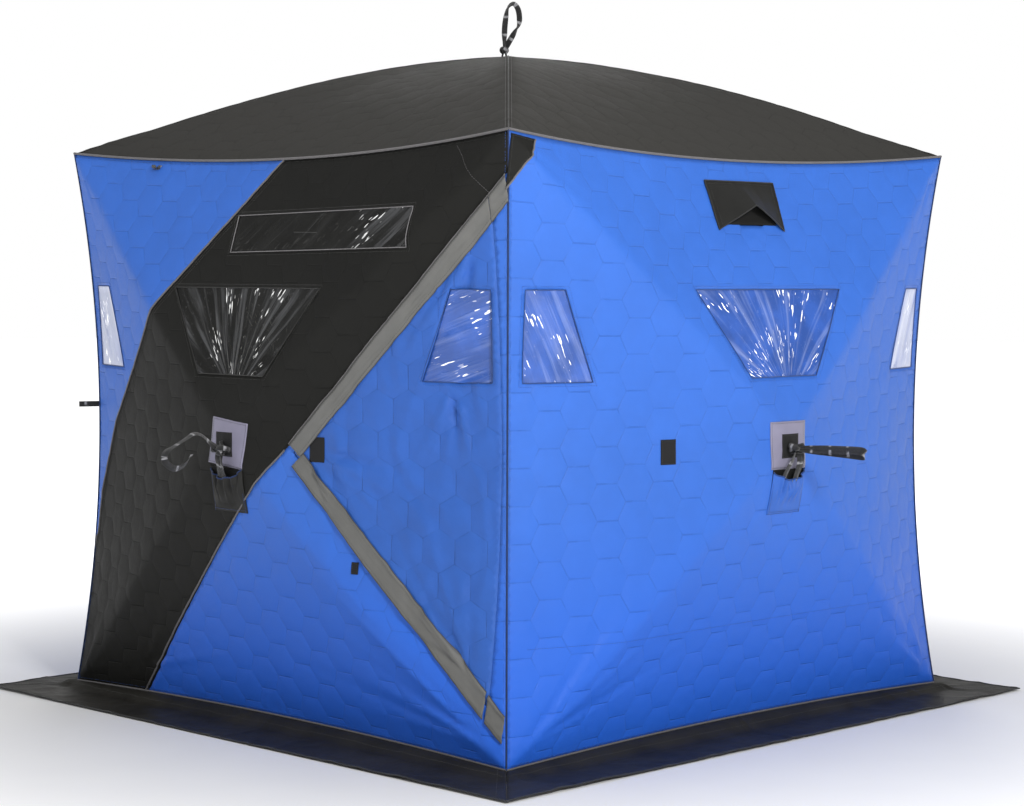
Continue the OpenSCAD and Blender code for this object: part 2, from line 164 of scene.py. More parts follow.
def quilt_edge(u, v):
    """Distance to the nearest line of the quilting, whose hexagons are wider than tall: the
    least of the distances to a cell's level and slanting edges, in the column that holds it."""
    def cell(x, y):
        dx, dy = fold_back(x, QUILT_W), fold_back(y, QUILT_H / 2)
        return np.minimum(QUILT_H / 2 - dy,
                          (QUILT_TIP - dx) * QUILT_NORMAL[0] - dy * QUILT_NORMAL[1])
    return np.maximum(np.maximum(cell(u, v), cell(u - QUILT_W, v - QUILT_H / 2)), 0)


def long_folds(u, v, rows):
    """Soft folds in rows of (u, v, angle, length, width, height). Each is a bell across its
    line that starts sharp and dies away towards its far end."""
    u0, v0, angle, length, width, height = (np.array(column)[:, None] for column in zip(*rows))
    x, y = u.ravel()[None] - u0, v.ravel()[None] - v0
    along = (x * np.cos(angle) + y * np.sin(angle)) / length
    across = y * np.cos(angle) - x * np.sin(angle)
    wide = width * (0.55 + 0.9 * np.clip(along, 0, 1))
    shape = smooth(along / 0.12) * (1 - smooth(along)) * np.exp(-(across / wide) ** 2)
    return (height * shape).sum(0).reshape(u.shape)


def fan(rng, place, towards, spread, count, length, width, height):
    """Rows for long_folds that leave one place within a spread of angles."""
    turns = towards + spread * (np.linspace(-1, 1, count) + rng.uniform(-0.2, 0.2, count))
    signs = rng.choice([-1, 1], count)
    return [(place[0], place[1], turns[k], length * rng.uniform(0.55, 1.25),
             width * rng.uniform(0.7, 1.3), signs[k] * height * rng.uniform(0.5, 1.2))
            for k in range(count)]


def line_distance(points, x, y, closed=True):
    """Distance from each place to a run of straight lines."""
    ends = points[1:] + points[:1] if closed else points[1:]
    best = np.full(np.shape(x), 9.0)
    for (ax, ay), (bx, by) in zip(points, ends):
        dx, dy = bx - ax, by - ay
        share = np.clip(((x - ax) * dx + (y - ay) * dy) / (dx * dx + dy * dy), 0, 1)
        best = np.minimum(best, np.hypot(x - ax - share * dx, y - ay - share * dy))
    return best


def inside(points, x, y):
    """True where a place lies inside a closed outline, by counting the edges it is left of."""
    found = np.zeros(np.shape(x), bool)
    for (ax, ay), (bx, by) in zip(points, points[1:] + points[:1]):
        if ay != by:
            found ^= ((ay > y) != (by > y)) & (x < (bx - ax) * (y - ay) / (by - ay) + ax)
    return found


def wall_windows(side):
    """Outlines of the clear sheets in a wall."""
    return [MID_WINDOW, FAR_WINDOW, NEAR_WINDOW] + ([LOOKOUT] if side == 0 else [])


def wall_relief(side, s, t):
    """How far the quilted cloth stands off its plain surface: pillows between the quilting
    lines, folds that fan out of the corners, hub and windows, and puckers along the seams."""
    sizes = bpy.context.scene.shelter_sizes
    rng = np.random.default_rng(40 + side)
    u, v = s * HALF_W, t * HALF_H
    across, up, _ = wall_point(s, t, 0)
    high = up + MID_Z
    edge = np.minimum((1 - np.abs(s)) * HALF_W, (1 - np.abs(t)) * HALF_H)
    on_door = np.zeros(np.shape(u))
    if side == 0:
        on_door = smooth(np.where(inside(doorway(0), across, high), 1, -1)
                         * line_distance(doorway(0), across, high) / 0.05 + 0.2)
    panes = np.full(np.shape(u), 9.0)
    for outline in wall_windows(side):
        panes = np.minimum(panes, line_distance(outline, across, high))
    pillow = 1 - np.exp(-(quilt_edge(u, v) / 0.015) ** 2)
    turned = 1 - np.exp(-(quilt_edge(v, u) / 0.018) ** 2)
    quilt = sizes.quilt_depth * ((pillow - 0.5) * (1 - on_door) + 2.9 * (turned - 0.5) * on_door)
    rows = []
    for cu, cv in ((1, 1), (-1, 1), (-1, -1), (1, -1)):
        inward = math.atan2(-cv * HALF_H, -cu * HALF_W)
        rows += fan(rng, (cu * (HALF_W - 0.05), cv * (HALF_H - 0.04)), inward, 0.42, 6,
                    0.36, 0.012, 0.0032)
    for k in range(4):
        rows += fan(rng, (0.10 * math.cos(k * 1.571 + 0.785), 0.10 * math.sin(k * 1.571 + 0.785)),
                    k * 1.571 + 0.785, 0.6, 5, 0.26, 0.009, 0.0026)
    for outline in wall_windows(side):
        middle = np.mean(outline, 0)
        for place in outline:
            away = math.atan2(place[1] - middle[1], place[0] - middle[0])
            rows += fan(rng, (place[0], place[1] - MID_Z), away, 0.5, 3, 0.14, 0.008, 0.0022)
    for k in range(26):
        rows.append((rng.uniform(-1.0, 0.9), rng.uniform(-0.85, 0.85), rng.uniform(-0.5, 0.5),
                     rng.uniform(0.10, 0.24), rng.uniform(0.006, 0.011),
                     rng.choice([-1, 1]) * rng.uniform(0.0010, 0.0022)))
    if side == 0:
        rows += fan(rng, (1.00, 0.62), -1.95, 0.32, 9, 0.85, 0.013, 0.0088)
        rows += fan(rng, (0.36, -0.02), -0.50, 0.55, 9, 0.50, 0.012, 0.0078)
        rows += fan(rng, (1.00, -0.70), 2.10, 0.45, 7, 0.60, 0.014, 0.0080)
        rows += fan(rng, (0.93, 0.19), -1.62, 0.40, 8, 0.42, 0.010, 0.0076)
        rows += fan(rng, (1.05, -0.90), 2.75, 0.30, 7, 0.90, 0.016, 0.0062)
        rows += fan(rng, (-0.70, -0.88), 0.55, 0.45, 6, 0.60, 0.013, 0.0036)
    else:
        rows += fan(rng, (0.0, 0.695), -1.571, 1.2, 7, 0.10, 0.007, 0.0026)
        rows += fan(rng, (-1.05, -0.90), 0.62, 0.35, 7, 0.85, 0.016, 0.0040)
        rows += fan(rng, (1.05, -0.90), 2.52, 0.35, 6, 0.70, 0.015, 0.0040)
    folds = sizes.fold_depth * long_folds(u, v, rows)
    drift = (soft_noise(u * 3.1 + 7, v * 3.1, 3 + side)
             + 0.5 * soft_noise(u * 7.3, v * 7.3, 9 + side))
    folds += (0.0018 + 0.0026 * on_door) * drift
    slant = soft_noise(u * 26 + 4 * soft_noise(u * 4, v * 3, 33), v * 5 + u * 3, 21 + side)
    folds += (0.0004 + 0.0034 * on_door) * slant
    along = np.where(np.abs(s) * HALF_W > np.abs(t) * HALF_W, v, u)
    wave = np.sin(2 * math.pi * along / 0.034 + 2.2 * soft_noise(along * 9, edge * 4, 5))
    puckers = 0.0015 * wave * np.exp(-edge / 0.040) * smooth(edge / 0.012)
    tucks = np.sin(2 * math.pi * (across + 0.25 * high) / 0.027
                   + 2.5 * soft_noise(across * 12, high * 12, 6))
    puckers += 0.0011 * tucks * np.exp(-panes / 0.035) * smooth(panes / 0.006)
    calm = smooth((np.hypot(u, v - 0.02) - 0.09) / HUB_CALM)
    tab = 0.397 if side == 0 else -0.502
    calm = calm * smooth((np.hypot(across - tab, high - 0.978) - 0.035) / 0.05)
    keep = smooth(edge / 0.03)
    return (quilt * smooth(panes / 0.02) + folds) * keep * calm + puckers * calm


def roof_relief(s, t):
    """The roof's faint quilting, folds from its hub and corners and puckers at the eaves."""
    sizes = bpy.context.scene.shelter_sizes
    rng = np.random.default_rng(51)
    u, v = s * HALF_W, t * HALF_W
    edge = np.minimum((1 - np.abs(s)) * HALF_W, (1 - np.abs(t)) * HALF_W)
    quilt = sizes.quilt_depth * 0.6 * (0.5 - np.exp(-(quilt_edge(u, v) / 0.015) ** 2))
    rows = []
    for k in range(4):
        turn = k * 1.571 + 0.785
        rows += fan(rng, (1.5 * math.cos(turn), 1.5 * math.sin(turn)), turn + math.pi, 0.35, 5,
                    0.30, 0.016, 0.0022)
        rows += fan(rng, (0, 0), turn, 0.7, 5, 0.4, 0.016, 0.0014)
    folds = sizes.fold_depth * long_folds(u, v, rows) + 0.0012 * soft_noise(u * 3, v * 3, 8)
    along = np.where(np.abs(s) > np.abs(t), v, u)
    wave = np.sin(2 * math.pi * along / 0.05 + 2.5 * soft_noise(along * 8, edge * 4, 5))
    puckers = 0.0010 * wave * np.exp(-edge / 0.05) * smooth(edge / 0.012)
    return (quilt + folds) * smooth(edge / 0.03) * smooth(np.hypot(u, v) / 0.12) + puckers


def over_wall(side, u, z, lift):
    """Places u across and z high that lie a lift above the wall's cloth as it really runs."""
    s, t = wall_place(u, z)
    out = wall_point(s, t, 0)[2] + wall_relief(side, s, t)
    return set_on_wall(side, np.asarray(u, float), np.asarray(z, float) - MID_Z, out + lift)


# ---------------------------------------------------------------- meshes
def grid_faces(rows, columns, loop_rows=False, loop_columns=False):
    """Four-sided faces of a grid whose points run along columns first."""
    i = np.arange(rows if loop_rows else rows - 1)[:, None]
    j = np.arange(columns if loop_columns else columns - 1)[None]
    k, l = (i + 1) % rows, (j + 1) % columns
    return np.stack([i * columns + j, k * columns + j, k * columns + l, i * columns + l],
                    -1).reshape(-1, 4)


def new_mesh(name, points, faces, uv=None):
    """A smooth-shaded object at the origin, from arrays of points and faces."""
    points = np.asarray(points, float).reshape(-1, 3)
    mesh = bpy.data.meshes.new(name)
    mesh.from_pydata(points.tolist(), [], faces.tolist())
    mesh.polygons.foreach_set("use_smooth", np.ones(len(mesh.polygons), bool))
    if uv is not None:
        layer = mesh.uv_layers.new(name="UVMap")
        corners = np.empty(len(mesh.loops), np.int32)
        mesh.loops.foreach_get("vertex_index", corners)
        layer.uv.foreach_set("vector", np.asarray(uv, float).reshape(-1, 2)[corners].ravel())
    mesh.update()
    made = bpy.data.objects.new(name, mesh)
    bpy.context.scene.collection.objects.link(made)
    return made


def sheet_mesh(name, points, uv=None):
    """A grid of points, rows by columns, as one open sheet. It faces rows cross columns."""
    rows, columns = points.shape[:2]
    return new_mesh(name, points, grid_faces(rows, columns), uv)


def thicken(piece, thickness, offset=-1.0, lining=None):
    """Gives a sheet its thickness, with its inner side in a lining's material if it has one."""
    made = piece.modifiers.new("Thickness", "SOLIDIFY")
    made.thickness = thickness
    made.offset = offset
    if lining is not None:
        piece.data.materials.append(lining)
        made.material_offset = 1
    return piece


def wear(piece, finish, slot, body, *nodes):
    """Gives a piece its material, its body and the nodes it replaces. The slot is not used."""
    if piece.data.materials:
        piece.data.materials[0] = finish
    else:
        piece.data.materials.append(finish)
    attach(piece, body)
    if nodes:
        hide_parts(*nodes)
    return piece


def mesh_area(piece):
    """Area of a piece's own sheet, before it gets any thickness."""
    areas = np.empty(len(piece.data.polygons))
    piece.data.polygons.foreach_get("area", areas)
    return float(areas.sum())


def spread_flat(piece, width, length):
    """Works out the area of a piece cut as cloth to a width and length, its true area if that is
    less; nothing uses it.
    """
    area = min(mesh_area(piece) * 0.995, width * length)


def frames(path, outward):
    """Unit side and up vectors along a path: up leans to outward and both cross the path."""
    ahead = np.gradient(path, axis=0)
    ahead /= np.linalg.norm(ahead, axis=1, keepdims=True)
    side = np.cross(ahead, np.broadcast_to(outward, path.shape))
    side /= np.maximum(np.linalg.norm(side, axis=1, keepdims=True), 1e-9)
    return ahead, side, np.cross(side, ahead)


def carried(name, path, outward, profile, closed=False, caps=True):
    """A closed profile of (side, up) points carried along a path, with its ends closed."""
    path = np.asarray(path, float)
    profile = np.asarray(profile, float)
    if closed:
        wrapped = np.concatenate([path[-1:], path, path[:1]])
        pad = outward if np.ndim(outward) == 1 else np.concatenate(
            [outward[-1:], outward, outward[:1]])
        _, side, up = (part[1:-1] for part in frames(wrapped, pad))
    else:
        _, side, up = frames(path, outward)
    if profile.ndim == 2:
        profile = np.broadcast_to(profile, (len(path),) + profile.shape)
    points = (path[:, None] + side[:, None] * profile[:, :, :1] + up[:, None] * profile[:, :, 1:])
    rows, columns = points.shape[:2]
    faces = grid_faces(rows, columns, closed, True)
    length = np.concatenate([[0], np.cumsum(np.linalg.norm(np.diff(path, axis=0), axis=1))])
    turn = np.linspace(0, 1, columns, endpoint=False)
    ring = np.linalg.norm(np.diff(np.vstack([profile[0], profile[0][:1]]), axis=0), axis=1).sum()
    uv = np.stack(np.broadcast_arrays(length[:, None], turn[None] * ring), -1).reshape(-1, 2)
    points = points.reshape(-1, 3)
    faces = faces.tolist()
    if not closed and caps:
        faces += [list(range(columns))[::-1],
                  [(rows - 1) * columns + k for k in range(columns)]]
    made = bpy.data.meshes.new(name)
    made.from_pydata(points.tolist(), [], faces)
    made.polygons.foreach_set("use_smooth", np.ones(len(made.polygons), bool))
    layer = made.uv_layers.new(name="UVMap")
    corners = np.empty(len(made.loops), np.int32)
    made.loops.foreach_get("vertex_index", corners)
    layer.uv.foreach_set("vector", uv[corners].ravel())
    made.update()
    piece = bpy.data.objects.new(name, made)
    bpy.context.scene.collection.objects.link(piece)
    return piece


def round_profile(radius, count=8, flat=1.0):
    """A circle, or an oval of less height, as (side, up) points that turn the right way."""
    angle = np.linspace(0, 2 * math.pi, count, endpoint=False)
    return np.stack([radius * np.cos(angle), radius * flat * np.sin(angle)], -1)


def tape_profile(width, thickness):
    """A flat band's section with rounded edges."""
    w, h = width / 2, thickness / 2
    return np.array([(w, 0), (w - h, h), (0, h), (h - w, h), (-w, 0), (h - w, -h), (0, -h),
                     (w - h, -h)])


def joined(name, parts):
    """Makes one object of several, keeping their UV maps."""
    bpy.ops.object.select_all(action="DESELECT")
    for part in parts:
        part.select_set(True)
    bpy.context.view_layer.objects.active = parts[0]
    if len(parts) > 1:
        bpy.ops.object.join()
    parts[0].name = name
    parts[0].data.name = name
    return parts[0]


def resample(path, pitch):
    """Points one pitch apart along a path, and how many there are."""
    path = np.asarray(path, float)
    run = np.concatenate([[0], np.cumsum(np.linalg.norm(np.diff(path, axis=0), axis=1))])
    count = max(int(run[-1] / pitch), 2)
    at = np.linspace(0, run[-1], count + 1)
    return np.stack([np.interp(at, run, path[:, k]) for k in range(path.shape[1])], -1)


def stitch_row(paths, outward, radius=0.0009, pitch=0.0085):
    """Points and faces of stitches along paths: one slim three-sided bead, thick in its
    middle and pinched at both ends, is repeated at each pitch and laid along the path."""
    sides = 3
    across = round_profile(radius * 1.15, sides, 0.8)
    share = np.array([-0.36, 0.0, 0.36])
    fat = np.array([0.35, 1.0, 0.35])
    points, faces, start = [], [], 0
    ring = grid_faces(len(share), sides, False, True)
    each = len(share) * sides
    for path, out in zip(paths, outward):
        line = resample(path, pitch)
        if np.ndim(out) == 2:
            out = resample_like(out, len(line))
        ahead, side, up = frames(line, out)
        bead = (line[:, None, None] + ahead[:, None, None] * (share * pitch)[None, :, None, None]
                + side[:, None, None] * (fat[:, None] * across[:, 0])[None, :, :, None]
                + up[:, None, None] * (fat[:, None] * across[:, 1])[None, :, :, None])
        count = len(line)
        points.append(bead.reshape(-1, 3))
        offset = start + each * np.arange(count)[:, None, None]
        faces.append((ring[None] + offset).reshape(-1, 4))
        start += each * count
    return np.concatenate(points), np.concatenate(faces)


def resample_like(values, count):
    """Stretches a run of vectors to another count."""
    old = np.linspace(0, 1, len(values))
    new = np.linspace(0, 1, count)
    return np.stack([np.interp(new, old, values[:, k]) for k in range(3)], -1)


def stitches(name, paths, outward, finish, body="shelter", pitch=0.0085, radius=0.0009):
    """Rows of stitches as one piece."""
    points, faces = stitch_row(paths, outward, radius, pitch)
    made = new_mesh(name, points, faces, np.zeros((len(points), 2)))
    made.data.materials.append(finish)
    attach(made, body)
    return made


def dense(points, pitch, closed=False):
    """Adds places along straight lines so that none are further apart than the pitch."""
    points = [tuple(p) for p in points]
    ends = points[1:] + points[:1] if closed else points[1:]
    made = []
    for (ax, ay), (bx, by) in zip(points, ends):
        count = max(int(math.ceil(math.hypot(bx - ax, by - ay) / pitch)), 1)
        share = np.arange(count) / count
        made.append(np.stack([ax + share * (bx - ax), ay + share * (by - ay)], -1))
    if not closed:
        made.append(np.array([points[-1]]))
    return np.concatenate(made)


def cut_wall(step, closed_lines, open_lines):
    """Covers a wall with a lattice of nearly equal triangles that keeps every outline as an
    edge. Returns s and t of its points, and its triangles as rows of three."""
    border = [(-HALF_W, -HALF_H), (HALF_W, -HALF_H), (HALF_W, HALF_H), (-HALF_W, HALF_H)]
    runs = [(dense(border, step, True), True)]
    for lines, closed in ((closed_lines, True), (open_lines, False)):
        for line in lines:
            places = dense(line, step, closed)
            s, t = wall_place(places[:, 0], places[:, 1])
            runs.append((np.stack([s * HALF_W, t * HALF_H], -1), closed))
    y = np.arange(-HALF_H + step * 0.8, HALF_H - step * 0.5, step * 0.866)
    x = np.arange(-HALF_W + step * 0.8, HALF_W - step * 0.5, step)
    gx, gy = np.meshgrid(x, y)
    gx[1::2] += step / 2
    keep = (gx < HALF_W - step * 0.4)
    for run, closed in runs[1:]:
        near = (gx > run[:, 0].min() - step) & (gx < run[:, 0].max() + step) & keep
        near &= (gy > run[:, 1].min() - step) & (gy < run[:, 1].max() + step)
        gone = line_distance([tuple(p) for p in run], gx[near], gy[near], closed) < 0.55 * step
        keep[near] &= ~gone
    points, edges, start = [], [], 0
    for run, closed in runs:
        index = np.arange(len(run)) + start
        pairs = np.stack([index, np.roll(index, -1)], -1)
        edges.append(pairs if closed else pairs[:-1])
        points.append(run)
        start += len(run)
    points.append(np.stack([gx[keep], gy[keep]], -1))
    flat = [Vector(p) for p in np.concatenate(points).tolist()]
    made, _, faces, *_ = delaunay_2d_cdt(flat, np.concatenate(edges).tolist(), [], 0, 1e-7, False)
    made, faces = np.array([tuple(p) for p in made]) / (HALF_W, HALF_H), np.array(faces)
    first, second, third = (made[faces[:, k]] for k in range(3))
    a, b = second - first, third - first
    good = a[:, 0] * b[:, 1] - a[:, 1] * b[:, 0] > 3e-6
    good &= np.abs(first + second + third).max(1) < 3
    return made[:, 0], made[:, 1], faces[good]


def wall_piece(name, side, s, t, faces, wanted):
    """Part of a cut wall, with its relief and with across and up as its UV map."""
    faces = faces[wanted]
    used, faces = np.unique(faces, return_inverse=True)
    faces = faces.reshape(-1, 3)
    s, t = s[used], t[used]
    across, up, out = wall_point(s, t, wall_relief(side, s, t))
    uv = np.stack([s * HALF_W, t * HALF_H], -1)
    return new_mesh(name, set_on_wall(side, across, up, out), faces, uv)


def corner_grid(corners, rows, columns):
    """Places of a four-cornered patch: corners run round it, and the grid blends them."""
    a, b, c, d = (np.array(corner, float) for corner in corners)
    i, j = np.linspace(0, 1, rows)[:, None, None], np.linspace(0, 1, columns)[None, :, None]
    return (1 - j) * ((1 - i) * a + i * b) + j * ((1 - i) * d + i * c)


# ---------------------------------------------------------------- materials
class Value:
    """One number that varies over a surface. Sums with it add Math nodes."""

    def __init__(self, tree, socket):
        self.tree, self.socket = tree, socket

    def math(self, operation, *items):
        node = self.tree.nodes.new("ShaderNodeMath")
        node.operation = operation
        for socket, item in zip(node.inputs, items):
            plug(self.tree, socket, item)
        return Value(self.tree, node.outputs[0])

    def __add__(self, other):
        return self.math("ADD", self, other)

    def __sub__(self, other):
        return self.math("SUBTRACT", self, other)

    def __rsub__(self, other):
        return self.math("SUBTRACT", other, self)

    def __mul__(self, other):
        return self.math("MULTIPLY", self, other)

    __radd__ = __add__
    __rmul__ = __mul__

    def least(self, other):
        return self.math("MINIMUM", self, other)

    def most(self, other):
        return self.math("MAXIMUM", self, other)

    def zigzag(self, half):
        return self.math("PINGPONG", self, half)

    def sine(self):
        return self.math("SINE", self)

    def step(self, low, high):
        """0 below low and 1 above high, or the reverse, with a soft step between."""
        node = self.tree.nodes.new("ShaderNodeMapRange")
        node.interpolation_type = "SMOOTHSTEP"
        for name, item in (("Value", self), ("From Min", low), ("From Max", high)):
            plug(self.tree, node.inputs[name], item)
        return Value(self.tree, node.outputs[0])


def plug(tree, socket, item):
    """Links a Value to a socket, or sets the socket's own value."""
    if isinstance(item, Value):
        tree.links.new(item.socket, socket)
    else:
        socket.default_value = item


class Finish:
    """A material of one Principled shader, with fixed sockets and what feeds the others."""

    def __init__(self, name, **fixed):
        self.material = bpy.data.materials.new(name)
        self.material.use_nodes = True
        self.tree = self.material.node_tree
        self.shader = self.tree.nodes["Principled BSDF"]
        for key, value in fixed.items():
            self.feed(key.replace("_", " "), value)

    def feed(self, name, item):
        known = {socket.name.lower(): socket for socket in self.shader.inputs}
        plug(self.tree, known[name.lower()], item)
        return self

    def node(self, kind, settings=None, values=None, out=0):
        """Adds a node: its settings first, then the values or links of its sockets."""
        made = self.tree.nodes.new("ShaderNode" + kind)
        for key, value in (settings or {}).items():
            setattr(made, key, value)
        for key, item in (values or {}).items():
            plug(self.tree, made.inputs[key], item)
        return Value(self.tree, made.outputs[out])

    def uv(self):
        """Across and up on the cloth in metres, and the pair as a vector."""
        pair = self.node("UVMap")
        split = self.tree.nodes.new("ShaderNodeSeparateXYZ")
        plug(self.tree, split.inputs[0], pair)
        return Value(self.tree, split.outputs[0]), Value(self.tree, split.outputs[1]), pair

    def place(self):
        return self.node("TexCoord", out="Object")

    def noise(self, vector, scale, detail=3.0, rough=0.55, stretch=None):
        if stretch is not None:
            vector = self.node("Mapping", {}, {"Vector": vector, "Scale": stretch})
        return self.node("TexNoise", {}, {"Vector": vector, "Scale": scale, "Detail": detail,
                                          "Roughness": rough})

    def blend(self, factor, first, second):
        """Colour that goes from the first to the second as the factor goes from 0 to 1."""
        return self.node("Mix", {"data_type": "RGBA"}, {0: factor, 6: first, 7: second}, 2)

    def bump(self, height, distance, strength=1.0):
        return self.feed("normal", self.node("Bump", {}, {"Height": height, "Distance": distance,
                                                          "Strength": strength}))


def shade(colour, share):
    """A colour made darker or lighter, with full alpha."""
    return tuple(min(channel * share, 1) for channel in tuple(colour)[:3]) + (1.0,)


def quilt_line(u, v):
    """The same quilting lines as quilt_edge, as shader maths."""
    def cell(x, y):
        dx, dy = x.zigzag(QUILT_W), y.zigzag(QUILT_H / 2)
        return (QUILT_H / 2 - dy).least((QUILT_TIP - dx) * QUILT_NORMAL[0]
                                        - dy * QUILT_NORMAL[1])
    return cell(u, v).most(cell(u + 5 * QUILT_W, v + 4.5 * QUILT_H))


def quilted(name, colour, turned=False, line_dark=0.35, sheen=0.08, rough=0.5, vary=0.06,
            painted_low_shade=None, wrinkle=1.0, gloss=0.3):
    """Quilted satin cloth: broken lines of welded hexagons, darkened partly as the welds' own
    colour and partly as painted shade in their grooves, a fine weave, sharp little wrinkles with
    painted shade in their hollows, and rubbed patches. Towards the ground it turns to its painted
    low shade, a more saturated blue that stands in for the sheen and light that fall away near the
    ground."""
    made = Finish(name, specular_ior_level=gloss, sheen_weight=sheen, sheen_roughness=0.4)
    u, v, pair = made.uv()
    patch = made.noise(pair, 2.3, 3)
    crease = made.noise(pair, 11.0, 4, 0.6)
    sharp = (made.noise(pair, 5.5, 3, 0.5, (1.0, 1.6, 1.0)) - 0.5).math("ABSOLUTE").step(0, 0.05)
    fibre = made.noise(pair, 420.0, 2, 0.5)
    weave = (u * 4200.0).sine() * (v * 4200.0).sine()
    # Painted shade: the crease noise that raises the wrinkles also darkens the cloth in their
    # hollows and lightens their tops; the patch noise is random tone.
    tone = patch.step(0.3, 0.7) * 0.6 + crease.step(0.35, 0.7) * 0.4
    base = made.blend(tone, shade(colour, 1 - vary), shade(colour, 1 + vary))
    # Painted light: the colour shifts with height to the painted low shade, a more saturated blue
    # standing in for the lit sheen that the cloth loses near the ground.
    if painted_low_shade is not None:
        height = made.node("SeparateXYZ", {}, {0: made.place()}, 2)
        base = made.blend(height.step(0.0, 0.95), painted_low_shade, base)
    x, y = (v, u) if turned else (u, v)
    line = quilt_line(x + 84 * QUILT_W, y + 78 * QUILT_H)
    # Painted shade: level lines get extra darkening, as light from above leaves their grooves in
    # shade. The dashed darkening along every line is partly the welds' own colour and partly
    # painted shade in the groove.
    level = (y + 78 * QUILT_H).zigzag(QUILT_H / 2)
    level = level.most(QUILT_H / 2 - level).step(QUILT_H / 2 - 0.004, QUILT_H / 2 - 0.001)
    dash = made.noise(pair, 19.0, 2).step(0.42, 0.60)
    mark = (1 - line.step(0.0004, 0.0038)) * (dash * 0.38 + level * 0.26 + 0.08)
    base = made.blend(mark * line_dark, base, shade(colour, 0.35))
    raised = crease * (0.42 * wrinkle) + sharp * (0.10 * wrinkle) + fibre * 0.03 + weave * 0.02
    raised = raised - mark * 0.55 + line.step(0.0, 0.02) * 0.15
    made.feed("base color", base)
    made.feed("roughness", tone * 0.12 + (rough - 0.06))
    made.bump(raised, 0.004, 0.8)
    return made.material


def plain_cloth(name, colour, rough=0.62, rib=0.0, sheen=0.2, vary=0.12, weave=2600.0):
    """Plain woven cloth with rubbed patches, and ribs across it if it has any."""
    made = Finish(name, specular_ior_level=0.3, sheen_weight=sheen, sheen_roughness=0.45)
    u, v, pair = made.uv()
    patch = made.noise(pair, 9.0, 4)
    fibre = made.noise(pair, 300.0, 3)
    threads = (u * weave).sine() * 0.5 + (v * weave).sine() * 0.5
    tone = patch.step(0.3, 0.75) * 0.7 + fibre * 0.3
    base = made.blend(tone, shade(colour, 1 - vary), shade(colour, 1 + vary))
    height = patch * 0.4 + fibre * 0.12 + threads * 0.06
    if rib:
        height = height + (v * (6.2832 / rib)).sine() * 0.25
    made.feed("base color", base)
    made.feed("roughness", tone * 0.14 + (rough - 0.07))
    made.bump(height, 0.0016, 0.7)
    return made.material


def webbing_finish(name, colour):
    """Woven webbing: chevron ribs along the strap and fuzzy, paler rubbed edges."""
    made = Finish(name, specular_ior_level=0.3, sheen_weight=0.25, sheen_roughness=0.5)
    u, v, pair = made.uv()
    ribs = (u * 3100.0 + (v.zigzag(0.0035)) * 2400.0).sine()
    lengthwise = (v * 1900.0).sine()
    rub = made.noise(pair, 90.0, 4)
    base = made.blend(rub.step(0.35, 0.75), shade(colour, 0.6), shade(colour, 1.15))
    bars = (1 - (u + 0.013).zigzag(0.034).step(0.004, 0.006)) * (v.zigzag(0.011)).step(0.002, 0.004)
    base = made.blend(bars * rub.step(0.3, 0.6), base, (0.34, 0.34, 0.36, 1.0))
    made.feed("base color", base)
    made.feed("roughness", rub * 0.2 + 0.55)
    made.bump(ribs * 0.4 + lengthwise * 0.25 + rub * 0.4, 0.0009, 0.9)
    return made.material


def skirt_finish(name, colour):
    """Coated satin cloth: glossier than the walls, with creases from folding."""
    made = Finish(name, specular_ior_level=0.2, sheen_weight=0.02, sheen_roughness=0.35)
    _, _, pair = made.uv()
    spot = made.place()
    broad_fold_and_sheen = made.noise(spot, 5.0, 5, 0.6)
    crease = made.noise(spot, 22.0, 5, 0.62)
    fibre = made.noise(pair, 380.0, 2)
    # Painted sheen: the colour is lighter where the wide bump folds stand up, from the same noise
    # that raises them.
    base = made.blend(broad_fold_and_sheen.step(0.3, 0.7), shade(colour, 0.75), shade(colour, 1.45))
    made.feed("base color", base)
    made.feed("roughness", crease * 0.22 + 0.40)
    made.bump(broad_fold_and_sheen * 0.7 + crease * 0.35 + fibre * 0.02, 0.010, 0.6)
    return made.material


